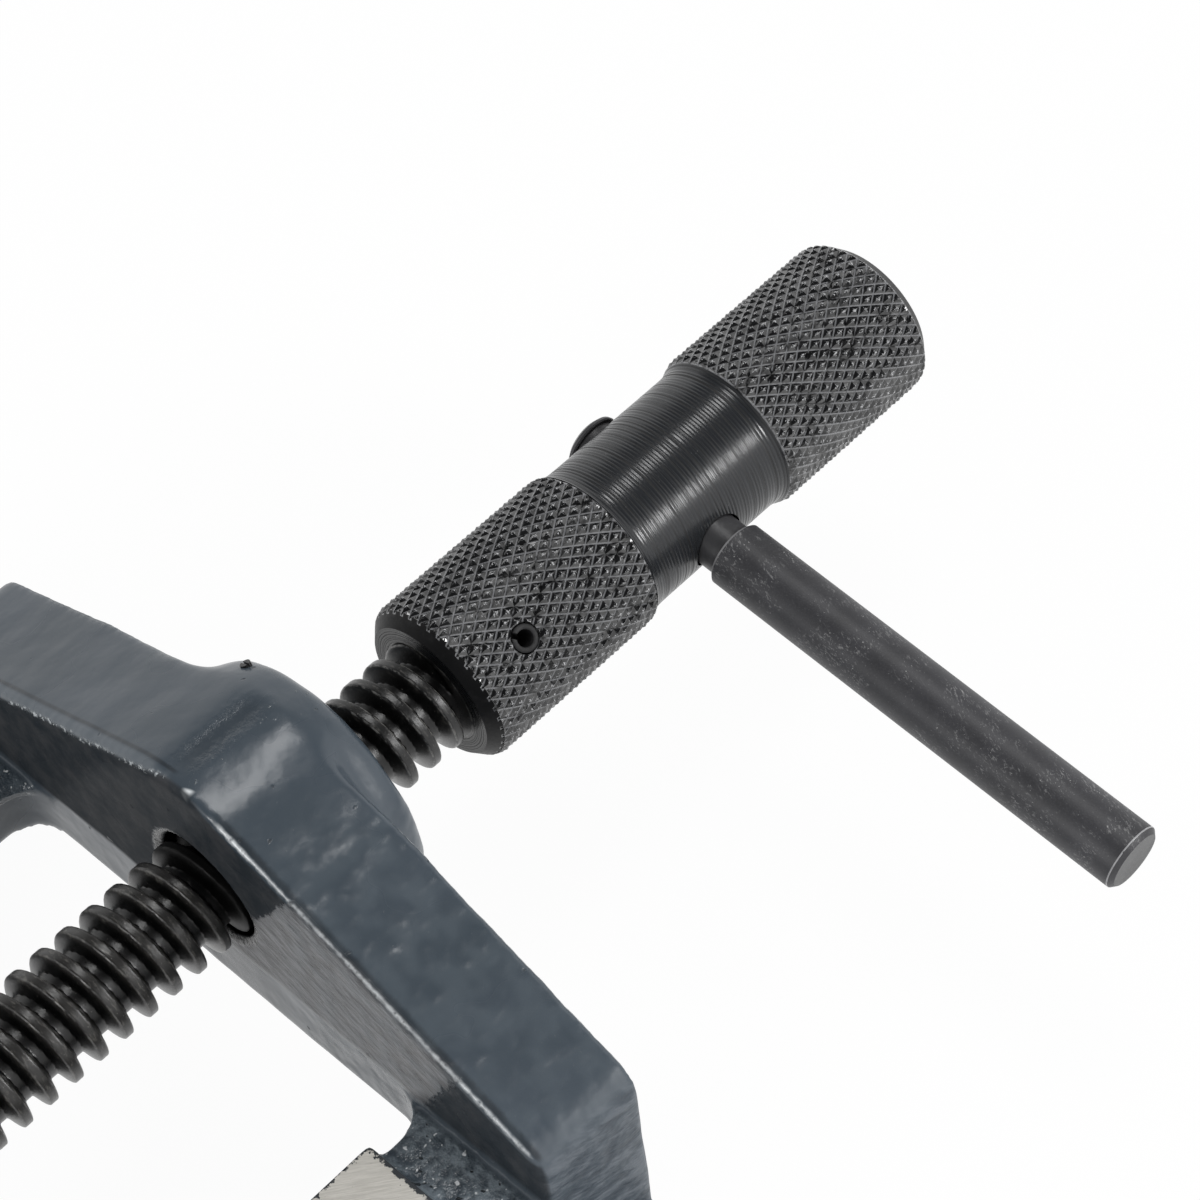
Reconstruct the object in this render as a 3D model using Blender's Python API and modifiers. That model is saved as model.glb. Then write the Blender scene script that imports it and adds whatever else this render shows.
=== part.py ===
"""Drill press vise: a cast body with ground ways, a sliding jaw, and a screw turned by a knurled hub and crank bar.

Metres, +Z up. The origin lies on the base's underside, straight below the fixed jaw's clamping face.
+X runs along the screw towards its handle, and Y runs across the jaws.
"""

import math

import bmesh
import bpy
from mathutils import Matrix, Vector

MM = 0.001

# Fits and overruns that every piece shares
seat_gap = 0.3 * MM
slide_gap = 0.4 * MM
screw_play = 0.35 * MM
overrun = 2.0 * MM
sink = 1.0 * MM

# Fineness of round shapes
round_steps = 48
small_round_steps = 24
corner_steps = 4

# Body casting
body_width = 121.6 * MM
tail_length = 62.0 * MM
screw_height = 43.0 * MM
way_height = 33.0 * MM
way_thickness = 11.3 * MM
way_gap = 76.4 * MM
way_corner = 5.0 * MM
skirt_thickness = 6.2 * MM
web_thickness = 24.0 * MM
tail_wall = 9.0 * MM
flange_width = 184.0 * MM
flange_thickness = 8.5 * MM
flange_corner = 14.0 * MM

# Clamping slots in the side flanges
slot_width = 11.0 * MM
slot_length = 56.0 * MM
front_slot_x = 8.0 * MM
rear_slot_x = 142.0 * MM

# Bridge that carries the screw
bridge_inner = 180.0 * MM
bridge_thickness = 17.3 * MM
roof_slope = math.radians(23.3)
shoulder_radius = 5.0 * MM
crest_radius = 22.3 * MM
crest_arc_steps = 10
boss_radius = 19.0 * MM
boss_rise = 1.3 * MM
boss_reach = 6.1 * MM
boss_rim_drop = 2.6 * MM
roof_edge = 1.0 * MM
bore_chamfer = 1.0 * MM
relief_length = 9.0 * MM
relief_depth = 1.7 * MM
relief_setback = 1.2 * MM

# Jaws
jaw_height = 68.0 * MM
jaw_top_length = 26.0 * MM
jaw_crown = 4.0 * MM
fixed_jaw_foot = 14.0 * MM
rest_opening = 14.0 * MM
jaw_foot_length = 43.0 * MM
jaw_shelf_height = 46.0 * MM
jaw_shelf_length = 9.0 * MM
jaw_boss_radius = 19.0 * MM
tongue_start = 16.0 * MM
tongue_end = 1.0 * MM

# Hardened jaw plates
plate_thickness = 8.0 * MM
plate_height = 30.0 * MM
plate_top_drop = 2.0 * MM
groove_width = 5.0 * MM
groove_depth = 2.2 * MM
plate_bevel = 0.5 * MM

# Jaw plate screws
plate_screw_radius = 4.0 * MM
plate_screw_head = 7.4 * MM
plate_screw_cone = 4.0 * MM
plate_screw_length = 24.0 * MM
plate_screw_spacing = 76.0 * MM
plate_socket = 5.0 * MM
plate_socket_depth = 3.4 * MM

# Keeper plate under the ways, with its bolts and washers
keeper_width = 92.0 * MM
keeper_thickness = 7.5 * MM
keeper_bevel = 0.8 * MM
keeper_bolt_radius = 4.0 * MM
keeper_bolt_length = 23.0 * MM
keeper_bolt_spacing = 44.0 * MM
keeper_head_width = 13.0 * MM
keeper_head_height = 5.3 * MM
washer_radius = 8.0 * MM
washer_thickness = 1.5 * MM

# Lead screw
thread_pitch = 25.4 / 6 * MM
thread_radius = 7.94 * MM
thread_root = 5.5 * MM
thread_start_gap = 2.4 * MM
thread_chamfer = 2.0 * MM
thread_into_hub = 6.0 * MM
thread_phase = math.radians(40)
thread_steps = 20
crest_shares = (0.0, 0.22, 0.5, 0.72)
tip_radius = 5.9 * MM
tip_length = 10.7 * MM
tip_groove_radius = 4.3 * MM
tip_bevel = 0.8 * MM

# Screw retainer on the moving jaw
button_thickness = 3.0 * MM
button_radius = 5.6 * MM
retainer_thickness = 4.0 * MM
retainer_width = 33.0 * MM
retainer_height = 17.0 * MM
retainer_corner = 3.0 * MM
retainer_screw_spacing = 23.0 * MM
retainer_screw_radius = 2.5 * MM
retainer_screw_length = 12.0 * MM
retainer_head_radius = 4.2 * MM
retainer_head_height = 3.2 * MM
screw_slot_width = 1.2 * MM
screw_slot_depth = 1.4 * MM

# Knurled hub on the handle end
hub_radius = 12.7 * MM
hub_start = 17.8 * MM
hub_length = 88.4 * MM
hub_end_chamfer = 2.1 * MM
waist_radius = 11.65 * MM
waist_length = 26.7 * MM
waist_fillet = 1.1 * MM
hub_bore_depth = 34.0 * MM

# Roll pin through the hub
pin_radius = 1.98 * MM
pin_bore_radius = 1.2 * MM
pin_slit = 0.75 * MM
pin_place = 10.5 * MM
pin_recess = 0.5 * MM
pin_play = 0.2 * MM
pin_angle = math.radians(135.2)

# Crank bar, staked through the hub's waist
bar_droop = math.radians(5.5)
bar_radius = 4.87 * MM
bar_shoulder = 14.4 * MM
bar_end = 84.7 * MM
bar_chamfer = 0.9 * MM
bar_shoulder_chamfer = 0.5 * MM
neck_radius = 3.95 * MM
peen_radius = 4.6 * MM
peen_height = 1.5 * MM

# Grub screw in the top of the bridge's boss
grub_radius = 0.75 * MM
grub_length = 6.0 * MM
grub_stand = 1.4 * MM
grub_angle = math.radians(61)
grub_setback = 3.0 * MM
grub_slot_width = 0.3 * MM
grub_slot_depth = 0.5 * MM

# Places worked out from the sizes above
half_body = body_width / 2
half_way = way_gap / 2
half_channel = half_body - skirt_thickness
deck_under = way_height - way_thickness
bridge_outer = bridge_inner + bridge_thickness
boss_face = bridge_outer + boss_reach
web_half = web_thickness / 2
bore_radius = thread_radius + screw_play
jaw_back = rest_opening + plate_thickness + jaw_foot_length
jaw_casting_face = rest_opening + plate_thickness
plate_low = jaw_height - plate_top_drop - plate_height
plate_middle = plate_low + plate_height / 2
tongue_half = half_way - slide_gap
tongue_x = rest_opening + tongue_start
tongue_back = jaw_back - tongue_end
tongue_under = deck_under - seat_gap / 3
keeper_top = tongue_under - seat_gap
keeper_under = keeper_top - keeper_thickness
keeper_middle = (tongue_x + tongue_back) / 2
retainer_face = jaw_back + seat_gap
retainer_back = retainer_face + retainer_thickness
groove_start = jaw_back
groove_end = retainer_back + seat_gap
tip_start = groove_start - tip_length
button_start = tip_start - seat_gap - button_thickness
thread_start = groove_end + thread_start_gap + tip_bevel
hub_face = boss_face + hub_start
hub_back = hub_face + hub_length
hub_middle = hub_face + hub_length / 2
screw_end = hub_face + hub_bore_depth - seat_gap
thread_end = hub_face + thread_into_hub
pin_x = hub_face + pin_place
screw_axis = Vector((0, 0, screw_height))


def fresh_collection(name):
    """A new collection linked to the scene."""
    made = bpy.data.collections.new(name)
    bpy.context.scene.collection.children.link(made)
    return made


def finish_material(name, colour, metallic, roughness):
    """A Principled material with one colour, metallic value and roughness."""
    material = bpy.data.materials.new(name)
    material.use_nodes = True
    shader = material.node_tree.nodes["Principled BSDF"]
    shader.inputs["Base Color"].default_value = (*colour, 1)
    shader.inputs["Metallic"].default_value = metallic
    shader.inputs["Roughness"].default_value = roughness
    material.diffuse_color = (*colour, 1)
    return material


for leftover in list(bpy.data.objects):
    bpy.data.objects.remove(leftover)

parts = fresh_collection("drill_press_vise")
cutters = fresh_collection("cutters")

enamel = finish_material("slate_enamel", (0.075, 0.092, 0.112), 0.0, 0.3)
ground_steel = finish_material("ground_steel", (0.52, 0.51, 0.49), 1.0, 0.35)
black_oxide = finish_material("black_oxide_steel", (0.030, 0.030, 0.033), 0.8, 0.4)
zinc = finish_material("zinc_plate", (0.60, 0.60, 0.58), 1.0, 0.3)


def put(name, mesh, material=None, where=None):
    """A node of the vise, or a tool that only shapes one when it has no material."""
    made = bpy.data.objects.new(name, mesh)
    if material is None:
        cutters.objects.link(made)
        made.hide_render = True
        made.display_type = "WIRE"
    else:
        parts.objects.link(made)
        mesh.materials.clear()
        mesh.materials.append(material)
    if where is not None:
        made.matrix_world = where
    return made


def mesh_from(name, form):
    """A mesh datablock from a bmesh, with its faces turned outwards."""
    bmesh.ops.recalc_face_normals(form, faces=form.faces)
    mesh = bpy.data.meshes.new(name)
    form.to_mesh(mesh)
    form.free()
    return mesh


def block(name, low, high, material=None, bevel=0.0, steps=2):
    """A box between two corners, with every edge rounded when a bevel is given."""
    form = bmesh.new()
    size = Vector(high) - Vector(low)
    middle = (Vector(high) + Vector(low)) / 2
    bmesh.ops.create_cube(form, size=1, matrix=Matrix.Translation(middle) @ Matrix.Diagonal((*size, 1)))
    made = put(name, mesh_from(name, form), material)
    if bevel:
        add_bevel(made, bevel, steps)
    return made


def add_bevel(made, width, steps=2, angle=math.radians(40)):
    """Rounds the edges that are sharper than the angle."""
    modifier = made.modifiers.new("rounded edges", "BEVEL")
    modifier.width = width
    modifier.segments = steps
    modifier.limit_method = "ANGLE"
    modifier.angle_limit = angle


def along(start, direction):
    """The placing that turns +Z to a direction and moves the origin to a start."""
    return Matrix.Translation(start) @ Vector(direction).to_track_quat("Z", "Y").to_matrix().to_4x4()


def rod(name, start, direction, radius, length, material=None, steps=small_round_steps):
    """A cylinder that begins at a point and runs along a direction."""
    form = bmesh.new()
    bmesh.ops.create_cone(
        form,
        cap_ends=True,
        segments=steps,
        radius1=radius,
        radius2=radius,
        depth=length,
        matrix=Matrix.Translation((0, 0, length / 2)),
    )
    return put(name, mesh_from(name, form), material, along(start, direction))


def turned(name, profile, start, direction, material=None, steps=round_steps):
    """A turned solid. The profile lists (distance along the axis, radius) from one end of the axis to the other."""
    form = bmesh.new()
    points = [form.verts.new((radius, 0, height)) for height, radius in reversed(profile)]
    for first, second in zip(points, points[1:]):
        form.edges.new((first, second))
    mesh = bpy.data.meshes.new(name)
    form.to_mesh(mesh)
    form.free()
    made = put(name, mesh, material, along(start, direction))
    lathe = made.modifiers.new("lathe", "SCREW")
    lathe.axis = "Z"
    lathe.steps = steps
    lathe.render_steps = steps
    lathe.use_merge_vertices = True
    lathe.merge_threshold = 0.00001
    lathe.use_smooth_shade = False
    return made


def rounded(corners):
    """The points of an outline whose corners are (x, y, radius), with an arc at each corner that has a radius."""
    made = []
    for i, (x, y, radius, *count) in enumerate(corners):
        corner = Vector((x, y))
        if not radius:
            made.append(corner)
            continue
        before = (Vector(corners[i - 1][:2]) - corner).normalized()
        after = (Vector(corners[(i + 1) % len(corners)][:2]) - corner).normalized()
        half = before.angle(after) / 2
        centre = corner + (before + after).normalized() * (radius / math.sin(half))
        first = corner + before * (radius / math.tan(half)) - centre
        last = corner + after * (radius / math.tan(half)) - centre
        turn = first.angle_signed(last)
        steps = count[0] if count else corner_steps
        for step in range(steps + 1):
            spun = Matrix.Rotation(-turn * step / steps, 2) @ first
            made.append(centre + spun)
    return made


def plate(name, outline, thickness, where, material=None):
    """A flat outline given a thickness, centred on the plane that the placing gives, as a mesh."""
    curve = bpy.data.curves.new(name, "CURVE")
    curve.dimensions = "2D"
    curve.fill_mode = "BOTH"
    curve.extrude = thickness / 2
    spline = curve.splines.new("POLY")
    spline.points.add(len(outline) - 1)
    for point, (x, y) in zip(spline.points, outline):
        point.co = (x, y, 0, 1)
    spline.use_cyclic_u = True
    drawn = bpy.data.objects.new(name + "_drawn", curve)
    cutters.objects.link(drawn)
    drawn.matrix_world = where
    bpy.context.view_layer.update()
    seen = drawn.evaluated_get(bpy.context.evaluated_depsgraph_get())
    mesh = bpy.data.meshes.new_from_object(seen)
    bpy.data.objects.remove(drawn)
    form = bmesh.new()
    form.from_mesh(mesh)
    bmesh.ops.remove_doubles(form, verts=form.verts, dist=0.00001)
    bmesh.ops.recalc_face_normals(form, faces=form.faces)
    form.to_mesh(mesh)
    form.free()
    mesh.name = name
    return put(name, mesh, material, where)


def side_view(x, z):
    """Placing for an outline drawn in X and Z, spread evenly either side of the middle plane."""
    return Matrix.Translation((x, 0, z)) @ Matrix.Rotation(math.radians(90), 4, "X")


def end_view(x, z=0.0):
    """Placing for an outline drawn in Y and Z, spread evenly either side of a plane across the screw."""
    return Matrix.Translation((x, 0, z)) @ Matrix(((0, 0, 1, 0), (1, 0, 0, 0), (0, 1, 0, 0), (0, 0, 0, 1)))


def shape(made, operation, *tools):
    """Joins the tools to a piece, or cuts them from it, in the order given."""
    for tool in tools:
        modifier = made.modifiers.new(f"{operation.lower()} {tool.name}", "BOOLEAN")
        modifier.operation = operation
        modifier.solver = "EXACT"
        modifier.object = tool


def soft_shading(made, angle=math.radians(35)):
    """Smooth shading on round faces, with the sharp edges kept sharp."""
    made.data.shade_smooth()
    made.data.set_sharp_from_angle(angle=angle)


# Body casting: deck, skirts, flanges, fixed jaw block and bridge are one piece of iron
vise_body = block(
    "vise_body",
    (-tail_length, -half_body, 0),
    (bridge_outer, half_body, way_height),
    enamel,
)

flange_outline = rounded(
    [
        (-tail_length, -flange_width / 2, flange_corner),
        (bridge_outer, -flange_width / 2, flange_corner),
        (bridge_outer, flange_width / 2, flange_corner),
        (-tail_length, flange_width / 2, flange_corner),
    ]
)
flange = plate(
    "flange_form",
    flange_outline,
    flange_thickness,
    Matrix.Translation((0, 0, flange_thickness / 2)),
)

roof_peak = screw_height + crest_radius / math.cos(roof_slope)
roof_eave = roof_peak - half_body * math.tan(roof_slope)
bridge_outline = rounded(
    [
        (-half_body, flange_thickness, 0),
        (half_body, flange_thickness, 0),
        (half_body, roof_eave, shoulder_radius),
        (0, roof_peak, crest_radius, crest_arc_steps),
        (-half_body, roof_eave, shoulder_radius),
    ]
)
bridge = plate(
    "bridge_form",
    bridge_outline,
    bridge_thickness,
    end_view(bridge_inner + bridge_thickness / 2),
)
add_bevel(bridge, roof_edge)

boss_root = bridge_thickness / 2
boss_length = boss_root + boss_reach
boss_profile = [(0, 0), (0, boss_radius)]
for step in range(corner_steps + 1):
    turn = math.radians(90) * step / corner_steps
    at = boss_root + boss_reach * math.sin(turn)
    boss_profile.append((at, boss_radius - boss_rim_drop * (1 - math.cos(turn))))
boss_profile.append((boss_length, 0))
boss = turned(
    "boss_form",
    boss_profile,
    (boss_face - boss_length, 0, screw_height + boss_rise),
    (1, 0, 0),
)

fixed_jaw_back = -plate_thickness - jaw_top_length
fixed_jaw_form = plate(
    "fixed_jaw_form",
    rounded(
        [
            (-plate_thickness, way_height - sink, 0),
            (-plate_thickness, jaw_height, jaw_crown / 2),
            (fixed_jaw_back, jaw_height, jaw_crown),
            (fixed_jaw_back - fixed_jaw_foot, way_height, 0),
            (fixed_jaw_back - fixed_jaw_foot, way_height - sink, 0),
        ]
    ),
    body_width,
    side_view(0, 0),
)
shape(vise_body, "UNION", flange, bridge, boss, fixed_jaw_form)

channel = block(
    "channel_cut",
    (web_half, -half_channel, -overrun),
    (bridge_outer + overrun, half_channel, deck_under),
)
tail_hollow = block(
    "tail_hollow_cut",
    (-tail_length + tail_wall, -half_channel, -overrun),
    (-web_half, half_channel, deck_under),
)
way_opening = plate(
    "way_gap_cut",
    rounded(
        [
            (web_half, -half_way, way_corner),
            (bridge_inner - relief_length, -half_way, 0),
            (bridge_inner - relief_length, half_way, 0),
            (web_half, half_way, way_corner),
        ]
    ),
    way_thickness * 2,
    Matrix.Translation((0, 0, way_height)),
)
relief = block(
    "relief_cut",
    (bridge_inner - relief_length, -half_body - overrun, way_height - relief_depth),
    (bridge_inner, half_body + overrun, way_height + overrun),
)
relief_half = half_way + relief_setback
relief_gap = plate(
    "relief_gap_cut",
    rounded(
        [
            (bridge_inner - relief_length - overrun, -half_way, 0),
            (bridge_inner - relief_length, -half_way, 0),
            (bridge_inner - relief_length, -relief_half, 0),
            (bridge_inner, -relief_half, way_corner),
            (bridge_inner, relief_half, way_corner),
            (bridge_inner - relief_length, relief_half, 0),
            (bridge_inner - relief_length, half_way, 0),
            (bridge_inner - relief_length - overrun, half_way, 0),
        ]
    ),
    way_thickness * 2,
    Matrix.Translation((0, 0, way_height)),
)
screw_bore = turned(
    "screw_bore_cut",
    [
        (0, 0),
        (0, bore_radius + bore_chamfer + overrun),
        (overrun + bore_chamfer, bore_radius),
        (overrun + bridge_thickness + boss_reach - bore_chamfer, bore_radius),
        (overrun * 2 + bridge_thickness + boss_reach, bore_radius + bore_chamfer + overrun),
        (overrun * 2 + bridge_thickness + boss_reach, 0),
    ],
    (bridge_inner - overrun, 0, screw_height),
    (1, 0, 0),
)
shape(vise_body, "DIFFERENCE", channel, tail_hollow, way_opening, relief, relief_gap, screw_bore)

flange_middle = (half_body + flange_width / 2) / 2
slot_half = slot_length / 2
for side_name, side in (("left", 1), ("right", -1)):
    for place_name, place in (("front", front_slot_x), ("rear", rear_slot_x)):
        slot_outline = rounded(
            [
                (place - slot_half, side * flange_middle - slot_width / 2, slot_width / 2.001),
                (place + slot_half, side * flange_middle - slot_width / 2, slot_width / 2.001),
                (place + slot_half, side * flange_middle + slot_width / 2, slot_width / 2.001),
                (place - slot_half, side * flange_middle + slot_width / 2, slot_width / 2.001),
            ]
        )
        slot = plate(
            f"slot_{place_name}_{side_name}_cut",
            slot_outline,
            flange_thickness * 3,
            Matrix.Identity(4),
        )
        shape(vise_body, "DIFFERENCE", slot)

plate_screw_hole = plate_screw_radius + seat_gap
for side_name, side in (("left", 1), ("right", -1)):
    hole = rod(
        f"fixed_jaw_hole_{side_name}_cut",
        (-plate_thickness + overrun, side * plate_screw_spacing / 2, plate_middle),
        (-1, 0, 0),
        plate_screw_hole,
        plate_screw_length + overrun,
    )
    shape(vise_body, "DIFFERENCE", hole)

boss_centre = Vector((boss_face - grub_setback, 0, screw_height + boss_rise))
grub_direction = Vector((0, math.cos(grub_angle), math.sin(grub_angle)))
grub_foot = boss_centre + grub_direction * (boss_radius + grub_stand - grub_length)
grub_hole = rod(
    "grub_hole_cut",
    grub_foot - grub_direction * seat_gap,
    grub_direction,
    grub_radius + seat_gap,
    grub_length + overrun,
)
shape(vise_body, "DIFFERENCE", grub_hole)
soft_shading(vise_body)

# Grub screw in the boss: a slotted stud that bears on the screw's thread
grub_screw = rod("boss_grub_screw", grub_foot, grub_direction, grub_radius, grub_length, black_oxide, round_steps // 3)
grub_slot = block(
    "grub_slot_cut",
    (-grub_slot_width / 2, -grub_radius * 2, grub_length - grub_slot_depth),
    (grub_slot_width / 2, grub_radius * 2, grub_length + overrun),
)
grub_slot.matrix_world = grub_screw.matrix_world
shape(grub_screw, "DIFFERENCE", grub_slot)


# Jaw plates: hardened steel, each held by two countersunk screws
def countersink(name, x, side, direction):
    """The hole for one plate screw, with its countersink at the clamping face."""
    run = plate_thickness + overrun * 2
    cone = plate_screw_cone + seat_gap
    flare = overrun * (plate_screw_head - plate_screw_radius) / plate_screw_cone
    return turned(
        name,
        [
            (0, 0),
            (0, plate_screw_head + seat_gap + flare),
            (overrun + cone, plate_screw_hole),
            (run, plate_screw_hole),
            (run, 0),
        ],
        (x - direction * overrun, side * plate_screw_spacing / 2, plate_middle),
        (direction, 0, 0),
        steps=small_round_steps,
    )


def jaw_plate(name, face_x, direction):
    """A jaw plate whose clamping face lies at face_x and whose back lies along the direction."""
    back_x = face_x + direction * (plate_thickness - seat_gap)
    low_x = min(face_x, back_x)
    high_x = max(face_x, back_x)
    made = block(
        name,
        (low_x, -half_body, plate_low),
        (high_x, half_body, plate_low + plate_height),
        ground_steel,
        plate_bevel,
        1,
    )
    for side_name, side in (("left", 1), ("right", -1)):
        shape(made, "DIFFERENCE", countersink(f"{name}_hole_{side_name}_cut", face_x, side, direction))
    return made


def plate_screw(name, face_x, side, direction):
    """A countersunk socket screw, its head just below the clamping face."""
    head = seat_gap
    made = turned(
        name,
        [
            (head, 0),
            (head, plate_screw_head),
            (head + plate_screw_cone, plate_screw_radius),
            (plate_screw_length, plate_screw_radius),
            (plate_screw_length, 0),
        ],
        (face_x, side * plate_screw_spacing / 2, plate_middle),
        (direction, 0, 0),
        black_oxide,
        small_round_steps,
    )
    socket = rod(
        f"{name}_socket_cut",
        (face_x - direction * overrun, side * plate_screw_spacing / 2, plate_middle),
        (direction, 0, 0),
        plate_socket / math.sqrt(3),
        overrun + plate_socket_depth,
        steps=6,
    )
    shape(made, "DIFFERENCE", socket)
    return made


fixed_jaw_plate = jaw_plate("fixed_jaw_plate", 0.0, -1)
moving_jaw_plate = jaw_plate("moving_jaw_plate", rest_opening, 1)
for side_name, side in (("left", 1), ("right", -1)):
    plate_screw(f"fixed_jaw_screw_{side_name}", 0.0, side, -1)
    plate_screw(f"moving_jaw_screw_{side_name}", rest_opening, side, 1)

level_groove = plate(
    "level_groove_cut",
    [
        (rest_opening - groove_depth, plate_middle - groove_width),
        (rest_opening + groove_depth, plate_middle),
        (rest_opening - groove_depth, plate_middle + groove_width),
    ],
    body_width + overrun * 2,
    side_view(0, 0),
)
upright_groove = plate(
    "upright_groove_cut",
    [
        (rest_opening - groove_depth, -groove_width),
        (rest_opening + groove_depth, 0),
        (rest_opening - groove_depth, groove_width),
    ],
    plate_height + overrun * 2,
    Matrix.Translation((0, 0, plate_middle)),
)
shape(moving_jaw_plate, "DIFFERENCE", level_groove, upright_groove)

# Moving jaw: a casting that rides on the ways, with a tongue between them
moving_jaw = plate(
    "moving_jaw",
    rounded(
        [
            (jaw_casting_face, way_height + seat_gap, 0),
            (jaw_back, way_height + seat_gap, 0),
            (jaw_back, jaw_shelf_height, jaw_crown / 2),
            (jaw_back - jaw_shelf_length, jaw_shelf_height, jaw_crown),
            (jaw_casting_face + jaw_top_length, jaw_height, jaw_crown),
            (jaw_casting_face, jaw_height, jaw_crown / 2),
        ]
    ),
    body_width,
    side_view(0, 0),
    enamel,
)
tongue = block(
    "tongue_form",
    (tongue_x, -tongue_half, tongue_under),
    (tongue_back, tongue_half, way_height + sink),
)
jaw_boss = rod(
    "jaw_boss_form",
    (jaw_back, 0, screw_height),
    (-1, 0, 0),
    jaw_boss_radius,
    jaw_foot_length / 2,
    steps=round_steps,
)
shape(moving_jaw, "UNION", tongue, jaw_boss)
tip_bore = rod(
    "tip_bore_cut",
    (jaw_back + overrun, 0, screw_height),
    (-1, 0, 0),
    tip_radius + seat_gap,
    overrun + jaw_back - button_start + seat_gap,
)
shape(moving_jaw, "DIFFERENCE", tip_bore)
for side_name, side in (("left", 1), ("right", -1)):
    face_hole = rod(
        f"moving_jaw_hole_{side_name}_cut",
        (jaw_casting_face - overrun, side * plate_screw_spacing / 2, plate_middle),
        (1, 0, 0),
        plate_screw_hole,
        plate_screw_length + overrun - plate_thickness + seat_gap,
    )
    keeper_hole = rod(
        f"keeper_hole_{side_name}_cut",
        (keeper_middle, side * keeper_bolt_spacing / 2, tongue_under - overrun),
        (0, 0, 1),
        keeper_bolt_radius + seat_gap,
        overrun + keeper_bolt_length - keeper_thickness,
    )
    retainer_hole = rod(
        f"retainer_hole_{side_name}_cut",
        (jaw_back + overrun, side * retainer_screw_spacing / 2, screw_height),
        (-1, 0, 0),
        retainer_screw_radius + seat_gap,
        overrun + retainer_screw_length - retainer_thickness + seat_gap,
    )
    shape(moving_jaw, "DIFFERENCE", face_hole, keeper_hole, retainer_hole)
soft_shading(moving_jaw)

# Keeper plate under the ways, held to the tongue by two bolts with washers
keeper_plate = block(
    "keeper_plate",
    (tongue_x, -keeper_width / 2, keeper_under),
    (tongue_back, keeper_width / 2, keeper_top),
    black_oxide,
    keeper_bevel,
    1,
)
washer_top = keeper_under - seat_gap
washer_under = washer_top - washer_thickness
head_top = washer_under - seat_gap
for side_name, side in (("left", 1), ("right", -1)):
    bolt_y = side * keeper_bolt_spacing / 2
    through = rod(
        f"keeper_through_{side_name}_cut",
        (keeper_middle, bolt_y, keeper_under - overrun),
        (0, 0, 1),
        keeper_bolt_radius + seat_gap,
        keeper_thickness + overrun * 2,
    )
    shape(keeper_plate, "DIFFERENCE", through)
    washer = rod(
        f"keeper_washer_{side_name}",
        (keeper_middle, bolt_y, washer_under),
        (0, 0, 1),
        washer_radius,
        washer_thickness,
        zinc,
    )
    washer_hole = rod(
        f"keeper_washer_{side_name}_cut",
        (keeper_middle, bolt_y, washer_under - overrun),
        (0, 0, 1),
        keeper_bolt_radius + seat_gap,
        washer_thickness + overrun * 2,
    )
    shape(washer, "DIFFERENCE", washer_hole)
    bolt = rod(
        f"keeper_bolt_{side_name}",
        (keeper_middle, bolt_y, head_top - keeper_head_height),
        (0, 0, 1),
        keeper_head_width / math.sqrt(3),
        keeper_head_height,
        zinc,
        steps=6,
    )
    shank = rod(
        f"keeper_shank_{side_name}_form",
        (keeper_middle, bolt_y, head_top - sink),
        (0, 0, 1),
        keeper_bolt_radius,
        keeper_bolt_length + sink,
    )
    shape(bolt, "UNION", shank)

# Thrust button at the bottom of the moving jaw's bore
thrust_button = rod(
    "thrust_button",
    (button_start, 0, screw_height),
    (1, 0, 0),
    button_radius,
    button_thickness,
    ground_steel,
)

# Retainer: a forked plate whose slot sits in the groove of the screw's tip
retainer_plate = plate(
    "retainer_plate",
    rounded(
        [
            (-retainer_width / 2, screw_height - retainer_height / 2, retainer_corner),
            (retainer_width / 2, screw_height - retainer_height / 2, retainer_corner),
            (retainer_width / 2, screw_height + retainer_height / 2, retainer_corner),
            (-retainer_width / 2, screw_height + retainer_height / 2, retainer_corner),
        ]
    ),
    retainer_thickness,
    end_view(retainer_face + retainer_thickness / 2),
    black_oxide,
)
fork_half = tip_groove_radius + seat_gap
fork_round = rod(
    "fork_round_cut",
    (retainer_face - overrun, 0, screw_height),
    (1, 0, 0),
    fork_half,
    retainer_thickness + overrun * 2,
)
fork_slot = block(
    "fork_slot_cut",
    (retainer_face - overrun, -fork_half, screw_height - retainer_height),
    (retainer_back + overrun, fork_half, screw_height),
)
shape(retainer_plate, "DIFFERENCE", fork_round, fork_slot)
for side_name, side in (("left", 1), ("right", -1)):
    screw_y = side * retainer_screw_spacing / 2
    clearance = rod(
        f"retainer_through_{side_name}_cut",
        (retainer_face - overrun, screw_y, screw_height),
        (1, 0, 0),
        retainer_screw_radius + seat_gap,
        retainer_thickness + overrun * 2,
    )
    shape(retainer_plate, "DIFFERENCE", clearance)
    head_face = retainer_back + seat_gap
    retainer_screw = turned(
        f"retainer_screw_{side_name}",
        [
            (0, 0),
            (0, retainer_head_radius - retainer_head_height / 4),
            (retainer_head_height / 4, retainer_head_radius),
            (retainer_head_height, retainer_head_radius),
            (retainer_head_height, retainer_screw_radius),
            (retainer_head_height + retainer_screw_length, retainer_screw_radius),
            (retainer_head_height + retainer_screw_length, 0),
        ],
        (head_face + retainer_head_height, screw_y, screw_height),
        (-1, 0, 0),
        zinc,
        small_round_steps,
    )
    driver_slot = block(
        f"retainer_slot_{side_name}_cut",
        (
            head_face + retainer_head_height - screw_slot_depth,
            screw_y - retainer_head_radius * 2,
            screw_height - screw_slot_width / 2,
        ),
        (
            head_face + retainer_head_height + overrun,
            screw_y + retainer_head_radius * 2,
            screw_height + screw_slot_width / 2,
        ),
    )
    shape(retainer_screw, "DIFFERENCE", driver_slot)


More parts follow.
